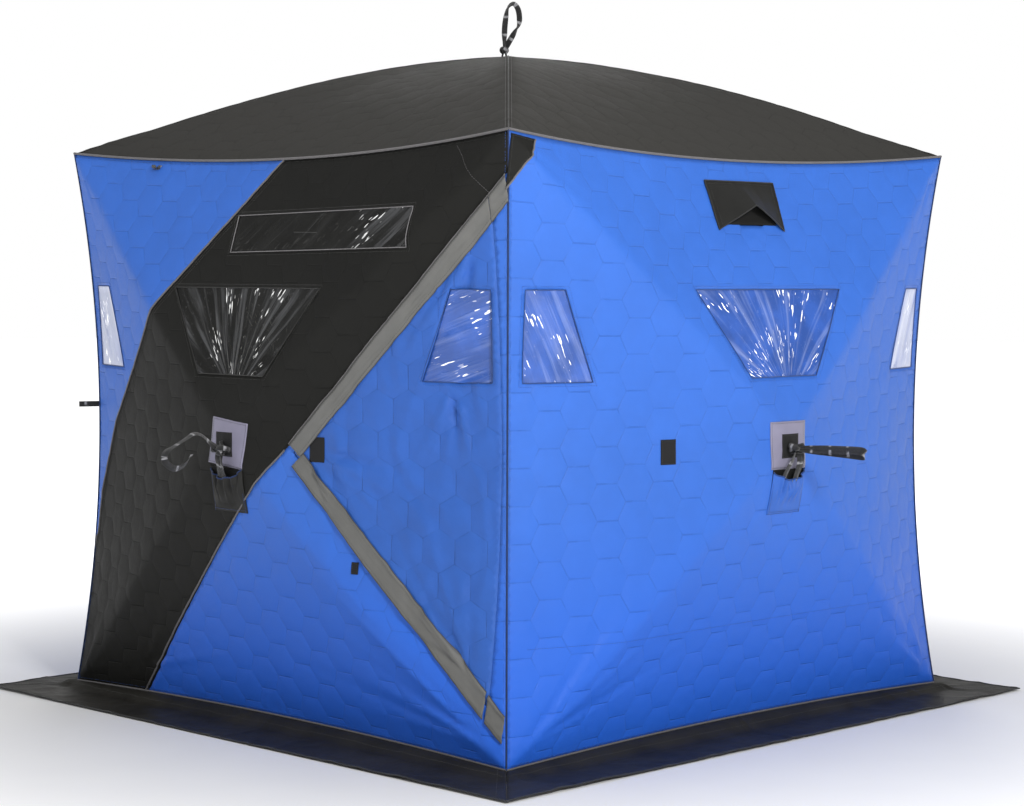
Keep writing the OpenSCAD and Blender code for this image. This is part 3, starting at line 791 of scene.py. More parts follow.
def clear_finish(name, tint, haze, alpha, pale=0.9):
    """Crinkled clear sheet. The flow attribute runs across the creases, along them, and says how
    many there are. Tint is what shows through; haze, streaks and dark shadow streaks lie on it,
    with painted highlights as small white marks along the creases that also glow. Seen nearly
    edge-on it turns light lavender-white, a painted reflection of white surroundings."""
    made = Finish(name, specular_ior_level=0.6 if pale else 0.25, ior=1.5)
    flow = made.node("Attribute", {"attribute_name": "flow"}, out="Vector")
    amount = made.node("SeparateXYZ", {}, {0: flow}, 2)
    spot = made.place()
    soft = made.noise(flow, 1.0, 3, 0.6, (38.0, 2.2, 0.0)).step(0.46, 0.72)
    thin = (made.noise(flow, 1.0, 2, 0.5, (75.0, 3.5, 0.0)) - 0.5).math("ABSOLUTE")
    thin = 1 - thin.step(0.004, 0.030)
    # Painted highlights: small white marks along the creases, white in the base colour and glowing.
    painted_glint = made.noise(flow, 1.0, 1, 0.5, (150.0, 21.0, 0.0)).step(0.62, 0.66)
    painted_glint = painted_glint * made.noise(flow, 1.0, 1, 0.5, (13.0, 8.0, 0.0)).step(0.55, 0.60)
    speck = made.noise(spot, 95.0, 3, 0.7).step(0.60, 0.80)
    # Painted reflection: seen nearly edge-on the sheet turns light lavender-white, standing in for
    # the white surroundings it mirrors.
    grazing_reflection = made.node("LayerWeight", {}, {"Blend": 0.5}, "Facing").step(0.42, 0.95)
    base = made.blend(made.noise(spot, 9.0, 4).step(0.35, 0.7), shade(tint, 0.78),
                      shade(tint, 1.15))
    shadow = (made.noise(flow, 1.0, 3, 0.6, (52.0, 3.0, 4.0)) - 0.5).math("ABSOLUTE")
    shadow = (1 - shadow.step(0.004, 0.045)) * 0.55
    base = made.blend(shadow, base, shade(tint, 0.35))
    streak = (soft * 0.26 + thin * 0.36 + speck * 0.20) * amount
    base = made.blend(streak, base, shade(haze, 1.0))
    # Painted reflection applied: light lavender-white where the sheet is seen nearly edge-on.
    base = made.blend(grazing_reflection * pale, base, (0.84, 0.87, 0.98, 1.0))
    painted_highlight = (painted_glint * amount).least(1.0)
    base = made.blend(painted_highlight, base, (1.0, 1.0, 1.0, 1.0))
    made.feed("base color", base)
    # Painted highlight: the white marks glow, so they stay white whatever light reaches them.
    made.feed("emission color", made.blend(painted_highlight, (0, 0, 0, 1), (1, 1, 1, 1)))
    made.feed("emission strength", 0.5)
    made.feed("roughness", streak * 0.25 + 0.16)
    made.feed("alpha", streak * 0.2 + alpha)
    made.bump(soft * 0.5 + thin * 0.35 + speck * 0.2, 0.003, 0.7)
    return made.material


def cord_finish(name, colour, rough=0.6):
    """Piping and thread: a cloth tube whose weave slants round it."""
    made = Finish(name, specular_ior_level=0.3, sheen_weight=0.15, sheen_roughness=0.5)
    u, v, pair = made.uv()
    slant = (u * 1500.0 + v * 900.0).sine()
    rub = made.noise(pair, 60.0, 3)
    made.feed("base color", made.blend(rub, shade(colour, 0.8), shade(colour, 1.25)))
    made.feed("roughness", rub * 0.15 + (rough - 0.07))
    made.bump(slant * 0.3 + rub * 0.4, 0.0008, 0.7)
    return made.material


def moulded(name, colour, rough=0.42, metallic=0.0):
    """Moulded plastic or a drawn rod: fine grain, scuffs and lighter rubbed places."""
    made = Finish(name, specular_ior_level=0.5, metallic=metallic)
    spot = made.place()
    grain = made.noise(spot, 700.0, 2)
    scuff = made.noise(spot, 35.0, 5, 0.65)
    base = made.blend(scuff.step(0.55, 0.8), shade(colour, 0.9), shade(colour, 1.8))
    made.feed("base color", base)
    made.feed("roughness", scuff * 0.22 + (rough - 0.1))
    made.bump(grain * 0.3 + scuff * 0.5, 0.0006, 0.5)
    return made.material


_made = {}


def finish(kind):
    """The material of one kind, made once from the colours in the panel."""
    if kind in _made:
        return _made[kind]
    c = bpy.context.scene.shelter_colours
    recipes = {
        "wall": lambda: quilted("wall_satin", c.wall, sheen=0.02, painted_low_shade=shade(c.painted_low_shade, 1)),
        "door": lambda: quilted("door_satin", shade(c.wall, 0.78), turned=True, vary=0.09,
                                sheen=0.03, wrinkle=1.9),
        "sash": lambda: quilted("sash_satin", c.sash, sheen=0.0, rough=0.58, vary=0.12,
                                wrinkle=0.7, gloss=0.12),
        "roof": lambda: quilted("roof_satin", c.roof, line_dark=0.5, sheen=0.0, rough=0.62,
                                wrinkle=0.5, gloss=0.12),
        "lining": lambda: quilted("wall_lining", c.lining, rough=0.6),
        "dark_lining": lambda: quilted("dark_lining", shade(c.roof, 0.5), rough=0.6, sheen=0.03),
        "patch": lambda: plain_cloth("hub_patch_cloth", c.patch, 0.6),
        "flap": lambda: plain_cloth("flap_cloth", c.flap, 0.48),
        "flap_edge": lambda: cord_finish("flap_edge", shade(c.flap, 0.42)),
        "pocket": lambda: plain_cloth("pocket_cloth", shade(c.wall, 0.85), 0.5, sheen=0.08),
        "dark_pocket": lambda: plain_cloth("dark_pocket_cloth", c.sash, 0.6, sheen=0.03),
        "tab": lambda: plain_cloth("hook_tab", c.webbing, 0.9, sheen=0.06, weave=3600.0),
        "hood": lambda: plain_cloth("hood_cloth", shade(c.sash, 0.8), 0.5, sheen=0.02),
        "mesh": lambda: plain_cloth("vent_net", shade(c.sash, 0.35), 0.9, sheen=0.0),
        "webbing": lambda: webbing_finish("webbing", c.webbing),
        "skirt": lambda: skirt_finish("skirt_satin", c.skirt),
        "clear_blue": lambda: clear_finish("clear_on_blue", c.clear_tint, c.clear_haze, 0.93),
        "clear_dark": lambda: clear_finish("clear_on_dark", shade(c.sash, 0.9),
                                           (0.40, 0.41, 0.44), 0.95, 0.0),
        "piping": lambda: cord_finish("piping", c.piping),
        "blue_piping": lambda: cord_finish("blue_piping", shade(c.wall, 0.35)),
        # Painted shadow: the corner seams' tubes are nearly black-blue, partly the seam's own
        # piping and partly painted shade in the seam's fold; the front pocket's hem shares this
        # colour.
        "seam": lambda: cord_finish("seam_shadow", shade(c.wall, 0.16)),
        "dark_piping": lambda: cord_finish("dark_piping", shade(c.sash, 0.8)),
        "thread": lambda: cord_finish("grey_thread", shade(c.piping, 1.3)),
        "blue_thread": lambda: cord_finish("blue_thread", shade(c.wall, 0.7)),
        "dark_thread": lambda: cord_finish("dark_thread", shade(c.sash, 2.2)),
        "rod": lambda: moulded("rod_glass_fibre", c.rod, 0.38),
        "plastic": lambda: moulded("hub_moulding", c.plastic, 0.42),
    }
    _made[kind] = recipes[kind]()
    return _made[kind]


# ---------------------------------------------------------------- sizes and colours
def colour_property(name, text, default):
    return bpy.props.FloatVectorProperty(name=name, description=text, subtype="COLOR", size=3,
                                         min=0, max=1, default=default)


def length_property(name, text, default, low, high):
    return bpy.props.FloatProperty(name=name, description=text, default=default, min=low,
                                   max=high, precision=4, subtype="DISTANCE", unit="LENGTH")


class ShelterSizes(bpy.types.PropertyGroup):
    """Sizes of the cloth's detail."""
    lattice: length_property("Cloth lattice", "Spacing of the points of a wall", 0.0160,
                             0.006, 0.05)
    quilt_depth: length_property("Quilting depth", "How far the quilted pillows stand up",
                                 0.0011, 0.0, 0.010)
    fold_depth: bpy.props.FloatProperty(name="Folds", description="Strength of the cloth's folds",
                                        default=1.0, min=0, max=3)
    piping: length_property("Piping", "Radius of the piping along the seams", 0.0042, 0.001, 0.01)
    stitch: length_property("Stitch", "Length of one stitch with its gap", 0.0085, 0.004, 0.03)
    skirt_fold: length_property("Skirt folds", "Height of the snow skirt's folds", 0.008,
                                0.0, 0.03)


class ShelterColours(bpy.types.PropertyGroup):
    """Colours of the shelter's materials."""
    wall: colour_property("Wall", "Blue cloth of the walls", (0.033, 0.135, 0.545))
    # Painted light: the walls' colour at the ground, a more saturated blue that stands in for the
    # sheen and light that fall away there.
    painted_low_shade: colour_property("Deep", "Blue of the walls near the ground", (0.018, 0.128, 0.68))
    sash: colour_property("Sash", "Black cloth of the sash", (0.012, 0.012, 0.011))
    roof: colour_property("Roof", "Charcoal cloth of the roof", (0.038, 0.0368, 0.034))
    lining: colour_property("Lining", "Inner side of the walls", (0.030, 0.085, 0.30))
    flap: colour_property("Flap", "Grey cloth of the storm flaps", (0.125, 0.125, 0.120))
    patch: colour_property("Patch", "Hub patches", (0.225, 0.215, 0.30))
    skirt: colour_property("Skirt", "Snow skirt", (0.0155, 0.0145, 0.0120))
    webbing: colour_property("Webbing", "Straps and tabs", (0.012, 0.012, 0.013))
    piping: colour_property("Piping", "Piping along the eaves", (0.12, 0.115, 0.12))
    clear_tint: colour_property("Clear tint", "What shows through the clear sheet",
                                (0.028, 0.098, 0.42))
    clear_haze: colour_property("Clear haze", "Pale creases of the clear sheet",
                                (0.32, 0.40, 0.68))
    rod: colour_property("Rods", "Glass-fibre rods", (0.07, 0.07, 0.075))
    plastic: colour_property("Mouldings", "Hubs and corner fittings", (0.02, 0.02, 0.021))


class Maker:
    """What every operator here shares."""
    bl_options = {"REGISTER", "UNDO"}

    def execute(self, context):
        self.make(context.scene.shelter_sizes)
        return {"FINISHED"}


class SHELTER_OT_stage(Maker, bpy.types.Operator):
    """Makes the floor, the soft studio light and the camera"""
    bl_idname = "shelter.stage"
    bl_label = "Stage"

    def make(self, sizes):
        scene = bpy.context.scene
        scene.view_settings.view_transform = "Standard"
        data = bpy.data.cameras.new("Camera")
        data.lens, data.sensor_width = 83.28, 36.0
        camera = bpy.data.objects.new("Camera", data)
        yaw, dip, roll = math.radians(134.81), math.radians(3.13), math.radians(0.19)
        ahead = Vector((math.cos(yaw) * math.cos(dip), math.sin(yaw) * math.cos(dip),
                        -math.sin(dip)))
        right = Vector((math.sin(yaw), -math.cos(yaw), 0))
        above = right.cross(ahead)
        right, above = (right * math.cos(roll) + above * math.sin(roll),
                        above * math.cos(roll) - right * math.sin(roll))
        turn = Matrix((right, above, -ahead)).transposed().to_4x4()
        camera.matrix_world = Matrix.Translation((6.175, -6.190, 1.544)) @ turn
        scene.collection.objects.link(camera)
        scene.camera = camera
        world = bpy.data.worlds.new("Studio")
        world.use_nodes = True
        nodes, links = world.node_tree.nodes, world.node_tree.links
        backdrop = nodes["Background"]
        backdrop.inputs[0].default_value = (1, 1, 1, 1)
        light = nodes.new("ShaderNodeBackground")
        light.inputs[0].default_value = (1, 1, 1, 1)
        light.inputs[1].default_value = 0.36
        seen = nodes.new("ShaderNodeLightPath")
        choose = nodes.new("ShaderNodeMixShader")
        links.new(seen.outputs["Is Camera Ray"], choose.inputs[0])
        links.new(light.outputs[0], choose.inputs[1])
        links.new(backdrop.outputs[0], choose.inputs[2])
        links.new(choose.outputs[0], nodes["World Output"].inputs[0])
        scene.world = world
        floor = Finish("floor_paper", specular_ior_level=0.1)
        grain = floor.noise(floor.place(), 3.0, 3)
        floor.feed("base color", floor.blend(grain, (0.78, 0.78, 0.79, 1), (0.82, 0.82, 0.82, 1)))
        floor.feed("roughness", grain * 0.1 + 0.8)
        away = floor.node("VectorMath", {"operation": "LENGTH"}, {0: floor.place()}, 1)
        floor.feed("emission color", floor.blend(away.step(1.5, 4.6), (0, 0, 0, 1), (1, 1, 1, 1)))
        floor.feed("emission strength", 1.0)
        reach = np.array([(-40, -40, 0), (40, -40, 0), (40, 40, 0), (-40, 40, 0)], float)
        ground = new_mesh("floor", reach, np.array([[0, 1, 2, 3]]))
        ground.data.materials.append(floor.material)
        for name, place, size, watts, tint in (
                ("key_light", (8.0, -3.6, 4.6), 1.6, 540, (1.0, 0.99, 0.97)),
                ("left_light", (-3.6, -8.2, 3.4), 3.0, 58, (0.98, 0.99, 1.0)),
                ("top_light", (0.5, -0.5, 7.0), 4.0, 110, (1, 1, 1)),
                ("rear_light", (-6.0, 6.0, 3.2), 4.0, 220, (1, 1, 1))):
            lamp = bpy.data.lights.new(name, "AREA")
            lamp.size, lamp.energy, lamp.color = size, watts, tint
            holder = bpy.data.objects.new(name, lamp)
            back = Vector(place) - Vector((0, 0, 1.0))
            holder.rotation_euler = back.to_track_quat("Z", "Y").to_euler()
            holder.location = place
            scene.collection.objects.link(holder)


class SHELTER_OT_plain_walls(Maker, bpy.types.Operator):
    """Makes the three quilted walls that have no door"""
    bl_idname = "shelter.plain_walls"
    bl_label = "Plain walls"

    def make(self, sizes):
        s, t, faces = cut_wall(sizes.lattice, [MID_WINDOW, FAR_WINDOW, NEAR_WINDOW, VENT_HOLE], [])
        across, up, _ = wall_point(s, t, 0)
        u, z = across[faces].mean(1), up[faces].mean(1) + MID_Z
        kept = ~(inside(MID_WINDOW, u, z) | inside(FAR_WINDOW, u, z) | inside(NEAR_WINDOW, u, z)
                 | inside(VENT_HOLE, u, z))
        for side in (1, 2, 3):
            name = SIDES[side] + "_wall"
            wall = wall_piece(name + "_cloth", side, s, t, faces, kept)
            wear(wall, finish("wall"), "blue_cloth", "shelter", name)
            thicken(wall, CLOTH_T, lining=finish("lining"))
            spread_flat(wall, 2 * HALF_W, 2 * HALF_H)


class SHELTER_OT_door_wall(Maker, bpy.types.Operator):
    """Makes the door wall's blue cloth, its black sash and the door leaf"""
    bl_idname = "shelter.door_wall"
    bl_label = "Door wall"

    def make(self, sizes):
        outer, inner = doorway(DOOR_GAP), doorway(-DOOR_GAP)
        s, t, faces = cut_wall(sizes.lattice, [MID_WINDOW, FAR_WINDOW, NEAR_WINDOW, LOOKOUT,
                                               outer, inner], [SASH_FAR, SASH_NEAR])
        across, up, _ = wall_point(s, t, 0)
        u, z = across[faces].mean(1), up[faces].mean(1) + MID_Z
        sash = SASH_FAR + [(-1.30, 0.48), (-1.30, -0.06), (-0.81, -0.06)] + SASH_NEAR[1:] + [
            (1.30, 2.06), (1.30, 2.20), (0.06, 2.20)]
        on_sash = inside(sash, u, z)
        gone = inside(outer, u, z)
        blue = ~on_sash & ~gone & ~inside(FAR_WINDOW, u, z)
        black = on_sash & ~gone & ~inside(MID_WINDOW, u, z) & ~inside(LOOKOUT, u, z)
        leaf = inside(inner, u, z) & ~inside(NEAR_WINDOW, u, z)
        wall = wall_piece("front_wall_cloth", 0, s, t, faces, blue)
        wear(wall, finish("wall"), "blue_cloth", "shelter", "front_wall")
        thicken(wall, CLOTH_T, lining=finish("lining"))
        spread_flat(wall, 2 * HALF_W, 2 * HALF_H)
        band = wall_piece("front_sash_cloth", 0, s, t, faces, black)
        wear(band, finish("sash"), "black_cloth", "shelter", "front_sash")
        thicken(band, CLOTH_T, lining=finish("dark_lining"))
        spread_flat(band, 2 * HALF_W, 2 * HALF_H)
        door = wall_piece("door_cloth", 0, s, t, faces, leaf)
        wear(door, finish("door"), "blue_cloth", "door", "door_panel")
        thicken(door, CLOTH_T, lining=finish("lining"))
        spread_flat(door, 0.76, 1.56)


class SHELTER_OT_roof(Maker, bpy.types.Operator):
    """Makes the domed roof with its four ridges"""
    bl_idname = "shelter.roof"
    bl_label = "Roof"

    def make(self, sizes):
        count = int(2 * HALF_W / sizes.lattice)
        s, t = np.meshgrid(np.linspace(-1, 1, count), np.linspace(-1, 1, count), indexing="ij")
        x, y, up = roof_point(s, t, roof_relief(s, t))
        roof = sheet_mesh("roof_cloth", np.stack([x, y, EAVE_Z + up], -1),
                          np.stack([s * HALF_W, t * HALF_W], -1))
        wear(roof, finish("roof"), "roof_cloth", "shelter", "roof_cover")
        thicken(roof, CLOTH_T, lining=finish("dark_lining"))
        spread_flat(roof, 2.35, 2.35)


class SHELTER_OT_windows(Maker, bpy.types.Operator):
    """Makes the crinkled clear sheets, each a little behind the cloth's face"""
    bl_idname = "shelter.windows"
    bl_label = "Windows"

    def make(self, sizes):
        for side in range(4):
            group = SIDES[side] + "_windows"
            for tag, outline in (("mid", MID_WINDOW), ("far", FAR_WINDOW), ("near", NEAR_WINDOW)):
                on_door = side == 0 and tag == "near"
                pane = self.pane(f"{SIDES[side]}_{tag}_pane", side, outline,
                                 "door" if on_door else tag)
                dark = side == 0 and tag == "mid"
                wear(pane, finish("clear_dark" if dark else "clear_blue"), "clear_sheet",
                     "door" if on_door else "shelter", "door_window" if on_door else group)
        strip = self.pane("lookout_pane", 0, LOOKOUT, "lookout")
        wear(strip, finish("clear_dark"), "clear_sheet", "shelter", "lookout_window")

    def pane(self, name, side, outline, form):
        """A four-cornered sheet with its flow: creases leave a foot below the lower edge like
        a fan, or slant across it. Slow noise drawn out along them raises and lowers it."""
        wide = np.linalg.norm(np.subtract(outline[2], outline[3]))
        longest = max(wide, np.linalg.norm(np.subtract(outline[1], outline[0])))
        rows, columns = int(longest / 0.0074), 42
        places = corner_grid(outline, rows, columns)
        u, z = places[..., 0], places[..., 1]
        i, j = np.meshgrid(np.linspace(0, 1, rows), np.linspace(0, 1, columns), indexing="ij")
        middle = np.mean(outline, 0)
        amount = np.ones(u.shape)
        amount = amount * {"near": 0.5, "door": 0.9}.get(form, 1.0)
        if form == "mid":
            amount = amount * (1.5 if side else 0.75)
            away = np.array((u - 0.02, z - outline[0][1] + 0.07))
            across, along = np.arctan2(*away) * 0.30, np.hypot(*away)
        else:
            lean = {"far": (0.90, 0.43), "near": (0.90, -0.43), "door": (-0.36, 0.93),
                    "lookout": (-0.62, 0.78)}[form]
            across = u * lean[0] + z * lean[1]
            along = z * lean[0] - u * lean[1]
        if form == "lookout":
            amount = smooth((u - 0.40) / 0.22) * 0.75 + 0.02
        bent = across + 0.012 * soft_noise(along * 5, across * 6, 4 + side)
        rim = smooth(np.minimum(np.minimum(i, 1 - i) * wide, np.minimum(j, 1 - j) * 0.29) / 0.02)
        billow = soft_noise(bent * 26, along * 3, 15 + side) + 0.6 * soft_noise(u * 7, z * 9, 5)
        s, t = wall_place(u, z)
        out = wall_point(s, t, 0)[2] - 0.0022 + 0.0020 * billow * rim
        made = sheet_mesh(name, set_on_wall(side, u, z - MID_Z, out), places - middle)
        flow = np.stack([bent + side, along, amount], -1)
        mark = made.data.attributes.new("flow", "FLOAT_VECTOR", "POINT")
        mark.data.foreach_set("vector", flow.ravel())
        return made


class SHELTER_OT_window_edges(Maker, bpy.types.Operator):
    """Makes the dark bound edge and the stitches round each window"""
    bl_idname = "shelter.window_edges"
    bl_label = "Window edges"

    def make(self, sizes):
        for side in range(4):
            for tag, outline in (("mid", MID_WINDOW), ("far", FAR_WINDOW), ("near", NEAR_WINDOW),
                                 ("lookout", LOOKOUT)):
                if tag == "lookout" and side:
                    continue
                on_door = side == 0 and tag == "near"
                dark = side == 0 and tag in ("mid", "lookout")
                places = dense(outline, 0.012, True)
                path = over_wall(side, places[:, 0], places[:, 1], 0.0002)
                facing = set_on_wall(side, 0.0, -MID_Z, 1 - HALF_W)
                edge = carried(f"{SIDES[side]}_{tag}_window_edge", path, facing,
                               round_profile(0.0017, 6), closed=True)
                edge.data.materials.append(finish("thread" if tag == "lookout" else "dark_piping"
                                                  if dark else "blue_piping"))
                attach(edge, "door" if on_door else "shelter")
                middle = np.mean(outline, 0)
                grown = [tuple(np.array(p) + 0.011 * np.sign(np.array(p) - middle))
                         for p in outline]
                places = dense(grown + grown[:1], 0.012)
                row = over_wall(side, places[:, 0], places[:, 1], 0.0006)
                stitches(f"{SIDES[side]}_{tag}_window_stitches", [row], [facing],
                         finish("dark_thread" if dark else "blue_thread"),
                         "door" if on_door else "shelter", sizes.stitch)


class SHELTER_OT_flaps(Maker, bpy.types.Operator):
    """Makes the storm flaps over the door's zips, their fixed ends and the door's tab"""
    bl_idname = "shelter.flaps"
    bl_label = "Storm flaps"

    def make(self, sizes):
        for upper in (True, False):
            tag = "upper" if upper else "lower"
            du = FOLD_U - DOOR_POINT[0]
            dz = (DOOR_TOP_Z if upper else DOOR_LOW_Z) - DOOR_POINT[1]
            ahead = np.array((du, dz)) / math.hypot(du, dz)
            start = 0.012 if upper else 0.031
            for name, first, last, body, node in (
                    (tag + "_flap_cloth", None, FOLD_U - (0.0006 if upper else 0.0075), "door",
                     tag + "_flap"),
                    (tag + "_flap_end_cloth", FOLD_U + 0.0006, 1.105, "shelter", "flap_ends")):
                flap, points = self.band(name, start, first, last, ahead, upper)
                wear(flap, finish("flap"), "flap_cloth", body, node)
                spread_flat(flap, FLAP_W * 1.08, np.ptp(points[..., 0]) * 1.62)
                down = np.array((0.0, -1.0, 0.0))
                lines = [(0, 0.0013, "thread"), (1, 0.0026, "flap_edge")] if upper else [
                    (0, 0.0013, "flap_edge")]
                for k, radius, kind in lines + [(-1, 0.0013, "flap_edge")]:
                    edge = carried(f"{name}_edge_{k % 15}", points[:, k] + down * 0.0008, down,
                                   round_profile(radius, 6))
                    edge.data.materials.append(finish(kind))
                    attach(edge, body)
                rows = [points[:, k] + down * 0.0014 for k in (2, 12)]
                stitches(name + "_stitches", rows, [down] * 2, finish("flap_edge"), body,
                         sizes.stitch, 0.0006)
        tab = corner_grid([(0.369, 0.938), (0.425, 0.938), (0.425, 1.018), (0.369, 1.018)], 9, 12)
        piece = sheet_mesh("door_tab_cloth", over_wall(0, tab[..., 0], tab[..., 1], 0.0026), tab)
        wear(piece, finish("tab"), "tab_cloth", "door", "door_tab")
        thicken(piece, 0.0022)

    def band(self, name, start, first, last, ahead, upper):
        """A flap along its slanting line, cut upright at the fold and the corner. It lies on
        the door's edge; its free edge stands off in slow waves, and long soft folds run in it."""
        side = np.array((-ahead[1], ahead[0])) * (1 if upper else -1)
        count = 110 if first is None else 12
        share, y = np.meshgrid(np.linspace(0, 1, count), np.linspace(1, -1, 15), indexing="ij")
        width = FLAP_W / 2

        def cut_at(u):
            return (u - DOOR_POINT[0] - y * width * side[0]) / ahead[0]

        a = start + 0 * y if first is None else cut_at(first)
        x = a + (cut_at(last) - a) * share
        wide = width * (1 + 0.03 * soft_noise(x * 7, 0 * x, 4))
        places = np.array(DOOR_POINT) + x[..., None] * ahead + (y * wide)[..., None] * side
        free = smooth((y + 0.6) / 1.6)
        waves = soft_noise(x * 7, y * 1.2, 17 + upper) * 0.5 + 0.5
        folds = 1 - np.abs(soft_noise(x * 4 + y * 0.8, y * 2.6, 27 + upper)) * 2.5
        lift = 0.0058 + 0.0060 * free * waves + 0.0022 * np.clip(folds, 0, 1)
        lift = lift + 0.0009 * soft_noise(x * 60, y * 3, 6) - 0.0022 * smooth((-y - 0.8) / 0.2)
        points = over_wall(0, places[..., 0], places[..., 1], lift)
        if not upper:
            points = points[:, ::-1]
        made = sheet_mesh(name, points[:, ::-1], np.stack([x, y * width], -1)[:, ::-1])
        thicken(made, 0.0016, 0.0)
        return made, points if upper else points[:, ::-1]


class SHELTER_OT_hub_fittings(Maker, bpy.types.Operator):
    """Makes each wall hub's patch, slot patch and pocket, the wall tabs and the sash's end"""
    bl_idname = "shelter.hub_fittings"
    bl_label = "Hub fittings"

    def make(self, sizes):
        for side in range(4):
            tag = SIDES[side]
            corners = ([(-0.088, 0.914), (0.086, 0.896), (0.113, 1.050), (-0.060, 1.068)]
                       if side == 0 else
                       [(-0.090, 0.902), (0.088, 0.900), (0.084, 1.060), (-0.097, 1.060)])
            self.patch(tag + "_hub_patch", side, corners, 0.0018, 0.0014, "patch", "hub_patch",
                       "hub_patches", 0.006)
            self.patch(tag + "_slot_patch", side,
                       [(-0.042, 0.938), (0.042, 0.938), (0.042, 1.018), (-0.042, 1.018)],
                       0.0034, 0.0014, "tab", "tab_cloth", "slot_patches", 0.004)
            self.patch(tag + "_pocket_back", side, [(-0.078, 0.800), (0.078, 0.800),
                                                    (0.080, 0.905), (-0.080, 0.905)],
                       0.0010, 0.0008, "mesh", "black_cloth", None, 0.004)
            self.pocket(tag + "_pocket", side)
            if side:
                self.patch(tag + "_tab", side, [(-0.536, 0.938), (-0.480, 0.938),
                                                (-0.480, 1.018), (-0.536, 1.018)],
                           0.0024, 0.0022, "tab", "tab_cloth", "wall_tabs", 0.004)
        self.patch("small_tab", 0, [(0.547, 0.590), (0.572, 0.590), (0.572, 0.628),
                                    (0.547, 0.628)], 0.0030, 0.0020, "tab", "tab_cloth", None,
                   0.004)
        self.patch("sash_end", 1, [(-1.115, 1.800), (-1.064, 1.874), (-1.010, 1.952),
                                   (-1.118, 1.966)], 0.0048, 0.0018, "sash", "black_cloth",
                   "corner_patch", 0.006)
        edge = dense([(-1.115, 1.800), (-1.064, 1.874), (-1.010, 1.950)], 0.012)
        tube = carried("sash_end_piping", over_wall(1, edge[:, 0], edge[:, 1], 0.0050),
                       np.array((1.0, 0.0, 0.0)), round_profile(sizes.piping * 0.75, 8))
        tube.data.materials.append(finish("piping"))
        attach(tube, "shelter")

    def patch(self, name, side, corners, lift, thick, kind, slot, node, inset):
        """A sewn patch that follows the wall, with a row of stitches inside its edge."""
        places = corner_grid(corners, 17, 17)
        i, j = np.meshgrid(np.linspace(-1, 1, 17), np.linspace(-1, 1, 17), indexing="ij")
        rim = smooth((1 - np.maximum(np.abs(i), np.abs(j))) / 0.2)
        height = lift + 0.0006 * rim + 0.0005 * soft_noise(places[..., 0] * 30,
                                                           places[..., 1] * 30, 3)
        piece = sheet_mesh(name, over_wall(side, places[..., 0], places[..., 1], height),
                           places - np.mean(corners, 0))
        wear(piece, finish(kind), slot, "shelter", *([node] if node else []))
        thicken(piece, thick)
        middle = np.mean(corners, 0)
        ring = [tuple(np.array(c) - inset * np.sign(np.array(c) - middle)) for c in corners]
        places = dense(ring + ring[:1], 0.008)
        row = over_wall(side, places[:, 0], places[:, 1], lift + 0.0012)
        facing = set_on_wall(side, 0.0, -MID_Z, 1 - HALF_W)
        stitches(name + "_stitches", [row], [facing], finish("dark_thread"), pitch=0.007,
                 radius=0.0007)

    def pocket(self, name, side):
        """An open-topped pouch: it bellies out towards its mouth, which is gathered."""
        a, b = np.meshgrid(np.linspace(-1, 1, 61), np.linspace(0, 1, 31), indexing="ij")
        u = 0.086 * a * (1 - 0.05 * b) + 0.004
        z = 0.752 + (0.145 - 0.032 * (1 - a * a) ** 0.8) * b + 0.003 * np.sin(a * 8) * b ** 3
        belly = (1 - np.abs(a) ** 3.2) * smooth(b * 1.15) ** 0.8
        gathers = 0.0068 * np.sin(a * 17 + 3 * soft_noise(a * 3, b * 2, 6)) * smooth(b * 1.2) ** 2
        sag = 0.0085 * soft_noise(a * 2.4 + 5, b * 3.1, 12 + side)
        lift = 0.0022 + 0.0195 * belly + (gathers + sag) * (1 - a ** 4) * smooth(b / 0.3)
        piece = sheet_mesh(name, over_wall(side, u, z, lift), np.stack([u, z - 0.83], -1))
        kind = "pocket" if side else "dark_pocket"
        wear(piece, finish(kind), "blue_cloth" if side else "black_cloth", "shelter",
             "hub_pockets")
        thicken(piece, 0.0016)
        spread_flat(piece, 0.19, 0.15)
        facing = set_on_wall(side, 0.0, -MID_Z, 1 - HALF_W)
        mouth = over_wall(side, u[:, -1], z[:, -1], lift[:, -1])
        hem = carried(name + "_hem", mouth, facing, round_profile(0.0026, 6))
        hem.data.materials.append(finish("blue_piping" if side else "seam"))
        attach(hem, "shelter")
        rim = np.concatenate([np.stack([u[2, ::-1], z[2, ::-1]], -1),
                              np.stack([u[2:-2, 2], z[2:-2, 2]], -1),
                              np.stack([u[-3], z[-3]], -1)])
        row = over_wall(side, rim[:, 0], rim[:, 1], 0.0052)
        stitches(name + "_stitches", [row], [facing], finish("blue_piping"), pitch=0.007,
                 radius=0.0009)


